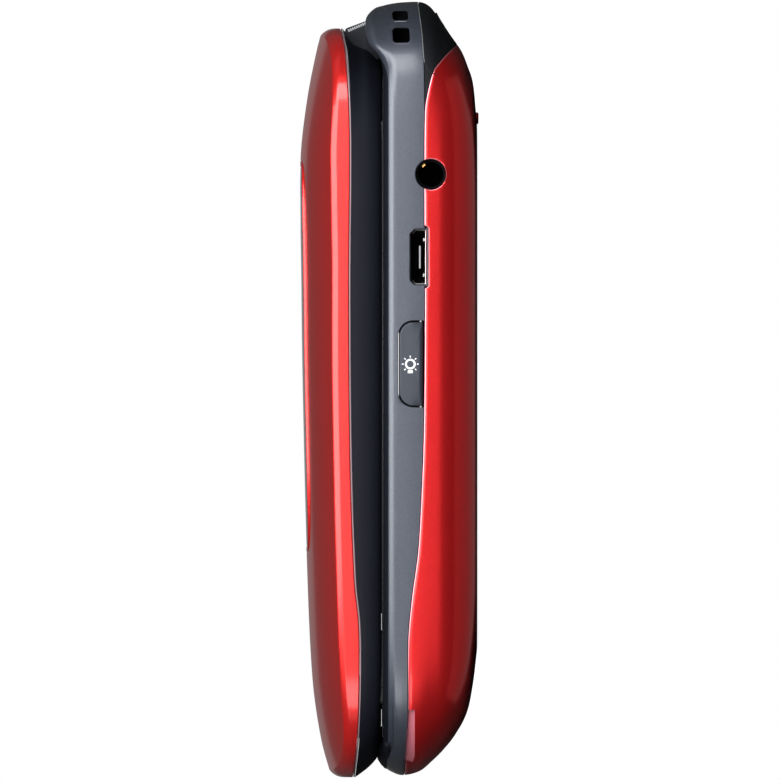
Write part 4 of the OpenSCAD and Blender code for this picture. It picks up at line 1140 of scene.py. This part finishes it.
class PHONE_OT_sockets(Piece):
    """Headphone socket and charging socket."""

    bl_idname = "phone.sockets"
    bl_label = "Sockets"

    def make(self, sizes, looks):
        block = across(rectangle((27.5, 33.5), (4.2, 9.88), 0.3), 12.2, 25.2)
        y, z = JACK
        barrel = Form().rows([side_ring(x, circle(r, JACK, 96)) for r, x in (
            (2.1, 24.9), (2.1, 26.05), (2.02, 26.15), (1.5, 26.15))])
        # The socket's body is near black without gloss: black plastic with painted shade in its bore.
        block.piece("headphone_socket", "base", [looks.shade_black], ["headphone_jack"],
                    "black_plastic", joins=[barrel], cuts=[across(circle(1.8, JACK, 96), 12.9, 30)])
        turn = math.radians(39)
        middle = np.array([y + 1.62 * math.cos(turn), z + 1.62 * math.sin(turn)])
        along = np.array([-math.sin(turn), math.cos(turn)])
        out = np.array([math.cos(turn), math.sin(turn)])
        tab = np.array([middle + along * u + out * v for u, v in
                        ((-0.24, -0.14), (0.24, -0.14), (0.24, 0.12), (-0.24, 0.12))])
        across(tab, 22, 25.6).piece("headphone_contact", "base", [looks.gold], slot="gold_contact")
        middle = sum(USB_Y) / 2
        y = (middle - 3.8, middle + 3.8)
        shell = rounded_polygon([[y[0], 7.35, 0.25], [y[1], 7.35, 0.25], [y[1], 9.05, 0.35],
                                 [y[1] - 0.75, 9.7, 0.35], [y[0] + 0.75, 9.7, 0.35],
                                 [y[0], 9.05, 0.35]])
        rows = [(0, 20.2), (0, 25.9), (-0.04, 26.05), (-0.13, 26.1), (-0.22, 26.05), (-0.27, 25.9),
                (-0.27, 21.2)]
        # The charging socket's shell is near black instead of steel: painted shade inside it.
        Form().rows([side_ring(x, grown(shell, g)) for g, x in rows + [(-1.0, 21.19)]]).piece(
            "usb_shell", "base", [looks.shade_black], ["micro_usb_port"], "black_plastic")
        # Steel lip round the sides and the lower edge of the shell's mouth only, where light falls on
        # it: a painted highlight, with the rest of the lip left black
        rim = np.array([[y[0] + 0.5, 9.35]] + [p for p in np.roll(shell, -len(shell) // 2, 0)
                                               if p[1] < 9.0] + [[y[1] - 0.5, 9.35]])
        rim[:, 1] = np.maximum(rim[:, 1], 7.52)
        Form().tube(side_ring(26.12, rim), 0.075).piece(
            "usb_rim", "base", [looks.steel], slot="steel")
        surround = rounded_polygon([[y[0] - 0.4, 7.45, 0.1], [y[0] - 0.15, 7.18, 0.1],
                                    [y[1] + 0.15, 7.18, 0.1], [y[1] + 0.4, 7.45, 0.1],
                                    [y[1] + 0.4, 9.2, 0.1], [y[0] - 0.4, 9.2, 0.1]])
        across(surround, 24.9, 26.1).piece(
            "usb_frame", "base", [looks.grey], slot="grey_flake_paint",
            cuts=[across(grown(shell, 0.01), 24, 27)])
        across(rectangle((middle - 1.6, middle + 1.6), (8.24, 8.46), 0.1), 21.1, 25.7).piece(
            "usb_tongue", "base", [looks.pale], slot="bright_trim")
        latches = Form()
        bump = circle(1, count=24) * (0.42, 0.22)
        for at in (21.26, 16.24):
            latches.rows([side_ring(x, bump * f + (at, 7.78)) for x, f in (
                (25.2, 0.8), (25.35, 1), (25.6, 1), (25.75, 0.6))])
        latches.piece("usb_latches", "base", [looks.chrome], slot="steel")


def torch_outline(grow, drop=0.35):
    """Side view of the torch key: round upper corners, and a lower edge at the housing's edge."""
    y = (TORCH_Y[0] + 0.2 - grow, TORCH_Y[1] - 0.2 + grow)
    z = (TORCH_Z[0] - drop, TORCH_Z[1] - 0.16 + grow)
    r = 1.95 + grow
    return rounded_polygon([[y[0], z[0], 0.1], [y[1], z[0], 0.1], [y[1], z[1], r], [y[0], z[1], r]])


class PHONE_OT_side_keys(Piece):
    """Torch key with its lamp pictogram, and the volume key on the other side."""

    bl_idname = "phone.side_keys"
    bl_label = "Side keys"

    def make(self, sizes, looks):
        outline = torch_outline(-0.02, drop=-0.1)
        middle = np.array([sum(TORCH_Y) / 2, 9.6])
        roll_z, roll_r = 8.5, 0.72

        def face(points, depth):
            """Face that stands at one x, and below roll_z turns away on an ellipse."""
            down = np.clip((roll_z - points[:, 1]) / roll_r, 0, 0.999)
            return side_ring(27.53 - depth - 0.75 * (1 - np.sqrt(1 - down ** 2)), points)

        rows = [side_ring(25.7, outline)]
        for t in np.linspace(0, math.pi / 2, 6):
            rows.append(face(grown(outline, -0.18 * (1 - math.cos(t))), 0.18 * (1 - math.sin(t))))
        inner = grown(outline, -0.18)
        for share in (0.97, 0.93, 0.88, 0.82, 0.75, 0.66, 0.5, 0.3, 0.1):
            rows.append(face(middle + (inner - middle) * share, 0))
        key = Form().rows(rows)
        # The pictogram: a lamp's ring, seven rays, and the socket in place of an eighth
        at = np.array([3.66, 9.70])
        x = (27.5, 27.56)
        key.rows([side_ring(p, circle(r, at, 48)) for r, p in (
            (0.76, x[0]), (0.76, x[1]), (0.48, x[1]), (0.48, x[0]))], 1, loop=True)
        for k in (0, 1, 2, 3, 5, 6, 7):
            turn = k * math.pi / 4
            u = np.array([math.cos(turn), math.sin(turn)])
            v = np.array([-u[1], u[0]])
            ray = np.array([at + u * a + v * b for a, b in
                            ((0.92, -0.075), (1.2, -0.075), (1.2, 0.075), (0.92, 0.075))])
            across(ray, *x, 1, key)
        across(at + [(-1.28, -0.36), (-0.86, -0.36), (-0.86, 0.36), (-1.28, 0.36)], *x, 1, key)
        key.piece("torch_side_key", "torch_key", [looks.side_key, looks.white], ["torch_key"],
                  "side_key_plastic")
        outline = rectangle(VOLUME_Y, VOLUME_Z, 1.49)
        rows = [(0, 25.6), (0, 27.35)]
        for t in np.linspace(0, math.pi / 2, 5):
            rows.append((-0.2 * (1 - math.cos(t)), 27.35 + 0.2 * math.sin(t)))
        rocker = Form().rows([side_ring(-x, grown(outline, g)) for g, x in rows])
        # A plus at one end, and a minus at the other
        z = sum(VOLUME_Z) / 2
        for y, w, h in ((11, 0.8, 0.12), (11, 0.12, 0.8), (-4, 0.8, 0.12)):
            bar = np.array([[y - w, z - h], [y + w, z - h], [y + w, z + h], [y - w, z + h]])
            across(bar, -27.58, -27.5, 1, rocker)
        rocker.piece("volume_rocker", "volume_key", [looks.side_key, looks.white], ["volume_key"],
                     "side_key_plastic")


def handset(middle, turn, size=1.0):
    """Flat pictogram of a handset: an arc with a block at each end."""
    t = np.radians(np.linspace(215, 325, 17))
    bow = np.concatenate([
        [[2.3 * math.cos(a), 1.2 + 2.3 * math.sin(a)] for a in t],
        [[1.75 * math.cos(a), 1.2 + 1.75 * math.sin(a)] for a in t[::-1]]])
    ends = [rectangle((s * 1.75 - 0.42, s * 1.75 + 0.42), (-0.75, 0.45), 0.18) for s in (-1, 1)]
    c, s = math.cos(turn), math.sin(turn)
    spin = np.array([[c, s], [-s, c]]) * size
    return [middle + shape @ spin for shape in [bow] + ends]


def key_cap(middle, half, r):
    """Domed cap of the keypad, from its middle, its half width and length, and its corners."""
    x, y = ((c - h, c + h) for c, h in zip(middle, half))
    return Form().rows(key_rows(rectangle(x, y, r), KEY_FLANGE_Z, CAP_TOP_Z - 0.12, 0.35, 0.12))


class PHONE_OT_keypad(Piece):
    """Keys of the keypad: domed caps with numbers or pictograms, and the navigation ring."""

    bl_idname = "phone.keypad"
    bl_label = "Keypad"

    def make(self, sizes, looks):
        legends = ["1", "2", "3", "4", "5", "6", "7", "8", "9", "*", "0", "#"]
        names = [f"key_{n}" for n in (1, 2, 3, 4, 5, 6, 7, 8, 9, "star", 0, "hash")]
        top = CAP_TOP_Z
        for i, (legend, name) in enumerate(zip(legends, names)):
            middle = ((i % 3 - 1) * KEY_PITCH[0], KEY_ROWS_Y - i // 3 * KEY_PITCH[1])
            cap = key_cap(middle, (7.1, 4.8), 2.4)
            cap.part(*glyph(legend, 5.6 if legend != "*" else 7.5, middle, top - 0.02), 1)
            cap.piece(f"{name}_cap", name, [looks.key, looks.legend], [name], "key_plastic")
        for sx, name, look, slot in ((-1, "call_key", looks.green, "green_key"),
                                     (1, "end_key", looks.end_red, "red_key")):
            middle = np.array([sx * 16.8, 13.5])
            cap = key_cap(middle, (5.8, 5), 2.6)
            for shape in handset(middle, math.radians(135) if sx < 0 else math.pi, 0.8):
                upright(shape, top - 0.04, top, 1, cap)
            cap.piece(f"{name}_cap", name, [look, looks.white], [name], slot)
        for sx, name in ((-1, "soft_key_left"), (1, "soft_key_right")):
            middle = np.array([sx * 16.8, 28])
            cap = key_cap(middle, (5.8, 4.5), 2.6)
            upright(rectangle((middle[0] - 1.6, middle[0] + 1.6), (27.75, 28.25), 0.2), top - 0.04, top,
                    1, cap)
            cap.piece(f"{name}_cap", name, [looks.key, looks.legend], [name], "key_plastic")
        profile = [(9, KEY_FLANGE_Z), (9, 13.05), (8.95, 13.22), (8.8, 13.36), (8.55, 13.43),
                   (8.2, 13.45), (7.4, 13.4), (6.2, 13.28), (5.2, 13.2), (4.4, 13.16), (4.15, 13.12),
                   (4.02, 13.0), (4, KEY_FLANGE_Z)]
        turning = Form().rows([ring(circle(r, (0, NAV_Y), 128), z) for r, z in profile], loop=True)
        for k in range(4):
            turn = k * math.pi / 2
            u = np.array([math.cos(turn), math.sin(turn)])
            v = np.array([-u[1], u[0]])
            tip = np.array([0, NAV_Y]) + u * 7.3
            arrow = np.array([tip + u * 0.5, tip - u * 0.3 + v * 0.7, tip - u * 0.3 - v * 0.7])
            upright(arrow, 13.2, 13.43, 1, turning)
        turning.piece("navigation_key", "navigation_ring", [looks.chrome, looks.key],
                      ["navigation_ring"], "bright_trim")
        dome = [(3.8, KEY_FLANGE_Z), (3.8, 13.1), (3.75, 13.22), (3.6, 13.3), (3.2, 13.35),
                (2, 13.42), (1, 13.44), (0.1, 13.45)]
        Form().rows([ring(circle(r, (0, NAV_Y), 96), z) for r, z in dome]).piece(
            "ok_cap", "ok_key", [looks.key], ["ok_key"], "key_plastic")


class PHONE_OT_inner_parts(Piece):
    """Finishes of the frame's own parts, which mostly lie inside."""

    bl_idname = "phone.inner_parts"
    bl_label = "Inner parts"

    def make(self, sizes, looks):
        for look, names in NODE_FINISH.items():
            for name in names:
                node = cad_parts[name]
                if not node.data.materials:
                    node.data.materials.append(None)
                for slot in node.material_slots:
                    slot.material = getattr(looks, look)


def lamp(name, level, size, distance, azimuth, elevation, aim=(14, 0, 12)):
    """Softbox that stands off from a place on the phone and faces it. Azimuth counts from +X to
    +Y. Its power is its radiance times pi and its area."""
    az, el = math.radians(azimuth), math.radians(elevation)
    away = Vector((math.cos(el) * math.cos(az), math.cos(el) * math.sin(az), math.sin(el)))
    light = bpy.data.lights.new(name, "AREA")
    light.shape, light.size, light.size_y = "RECTANGLE", *size
    light.energy = level * math.pi * size[0] * size[1]
    made = bpy.data.objects.new(name, light)
    made.location = Vector(aim) * MM + away * distance
    made.rotation_euler = away.to_track_quat("Z", "Y").to_euler()
    made.visible_camera = False
    bpy.context.scene.collection.objects.link(made)
    return made


class PHONE_OT_stage(bpy.types.Operator):
    """White floor and background, the softboxes, and the camera square on the phone's side."""

    bl_idname = "phone.stage"
    bl_label = "Stage"

    def execute(self, context):
        lights = context.scene.phone_lights
        world = bpy.data.worlds.new("white room")
        context.scene.world = world
        world.use_nodes = True
        tree = world.node_tree
        rays = tree.nodes.new("ShaderNodeLightPath")
        seen = Value(tree, rays.outputs["Is Camera Ray"]).largest(
            Value(tree, rays.outputs["Is Transmission Ray"]))
        glossy = Value(tree, rays.outputs["Is Glossy Ray"])
        level = (lights.room + (lights.room_gloss - lights.room) * glossy) * (1 - seen) + seen
        background = tree.nodes["Background"]
        background.inputs["Color"].default_value = (1, 1, 1, 1)
        tree.links.new(level.socket, background.inputs["Strength"])

        look = Finish("white floor")
        tree = look.tree
        x, y = abs(look.split(look.place, 0)), abs(look.split(look.place, 1))
        rays = tree.nodes.new("ShaderNodeLightPath")
        camera_ray = Value(tree, rays.outputs["Is Camera Ray"])
        glossy = Value(tree, rays.outputs["Is Glossy Ray"])
        # Strips of the floor under the phone's sides that glow in reflections
        below = (x < 28.3 * MM) * (x > 21.5 * MM) * (y < 46 * MM)
        # The floor is pale to the camera, greyer to light that bounces off it, and nearly black in
        # reflections: a painted dark reflection on the phone's lower back.
        white = camera_ray * 0.4 + 0.4 - glossy * 0.35
        look.set(Base_Color=look.node("ShaderNodeCombineXYZ", None, {0: white, 1: white, 2: white}),
                 Roughness=1.0, Specular_IOR_Level=0.0, Emission_Color=(1, 1, 1))
        look.feed(look.surface.inputs["Emission Strength"],
                  camera_ray * 0.8 + glossy * below * lights.under)
        clear = tree.nodes.new("ShaderNodeBsdfTransparent")
        side = tree.nodes.new("ShaderNodeNewGeometry")
        shown = tree.nodes.new("ShaderNodeMixShader")
        tree.links.new(side.outputs["Backfacing"], shown.inputs[0])
        tree.links.new(look.surface.outputs[0], shown.inputs[1])
        tree.links.new(clear.outputs[0], shown.inputs[2])
        tree.links.new(shown.outputs[0], tree.nodes["Material Output"].inputs["Surface"])
        half = 3000
        corners = [[-half, -half, 0], [half, -half, 0], [half, half, 0], [-half, half, 0]]
        floor = Form().part(corners, [[0, 1, 2, 3]]).piece("floor", None, [look.material])
        lamp("key", lights.key, (0.17, 0.235), 0.3, 10, 26)
        lamp("front card", lights.front, (1.4, 0.20), 1.0, 0, 6)
        lamp("back card", lights.back, (0.4, 0.28), 1.0, 180, 9)
        lamp("foot card", 6.0 * lights.front, (0.10, 0.16), 0.4, -15, 1, (20, -38, 9))
        lamp("ear card", 10.5 * lights.front, (0.12, 0.24), 0.4, 28, 8, (20, 47, 10))
        lamp("head light", lights.head, (0.3, 0.3), 0.5, 80, 28)

        camera = bpy.data.cameras.new("side view")
        camera.sensor_width, camera.clip_start, camera.clip_end = 36, 0.1, 20
        # The camera looks along -X with the hinge end up. In metres: how far off it stands from
        # the plane that the picture's width holds for, that plane, that width, and its height
        distance, plane, width, height = 5, 0.014, 0.110565, 0.01257
        camera.lens = camera.sensor_width * distance / width
        view = bpy.data.objects.new("side view", camera)
        view.matrix_world = Matrix(
            ((0, 0, 1, plane + distance), (0, 1, 0, 0), (-1, 0, 0, height), (0, 0, 0, 1)))
        context.scene.collection.objects.link(view)
        context.scene.camera = view
        context.scene.view_settings.view_transform = "Standard"
        return {"FINISHED"}


STEPS = [PHONE_OT_lid_cover, PHONE_OT_outer_window, PHONE_OT_lid_housing, PHONE_OT_front_housing,
         PHONE_OT_back, PHONE_OT_antenna_cap, PHONE_OT_sockets, PHONE_OT_side_keys,
         PHONE_OT_keypad, PHONE_OT_inner_parts, PHONE_OT_stage]


class PHONE_PT_panel(bpy.types.Panel):
    """Lists the settings and the operators."""

    bl_idname = "PHONE_PT_panel"
    bl_label = "Flip Phone"
    bl_space_type = "VIEW_3D"
    bl_region_type = "UI"
    bl_category = "Flip Phone"

    def draw(self, context):
        scene = context.scene
        for group in (scene.phone_sizes, scene.phone_colours, scene.phone_lights):
            box = self.layout.box()
            for name in group.__annotations__:
                box.prop(group, name)
        for step in STEPS:
            self.layout.operator(step.bl_idname)


CLASSES = [Sizes, Colours, Lights, *STEPS, PHONE_PT_panel]


def register():
    for c in CLASSES:
        bpy.utils.register_class(c)
    bpy.types.Scene.phone_sizes = PointerProperty(type=Sizes)
    bpy.types.Scene.phone_colours = PointerProperty(type=Colours)
    bpy.types.Scene.phone_lights = PointerProperty(type=Lights)


def unregister():
    for name in ("phone_sizes", "phone_colours", "phone_lights"):
        delattr(bpy.types.Scene, name)
    for c in reversed(CLASSES):
        bpy.utils.unregister_class(c)


def main():
    register()
    for step in STEPS:
        family, name = step.bl_idname.split(".")
        getattr(getattr(bpy.ops, family), name)()


if __name__ == "__main__":
    main()
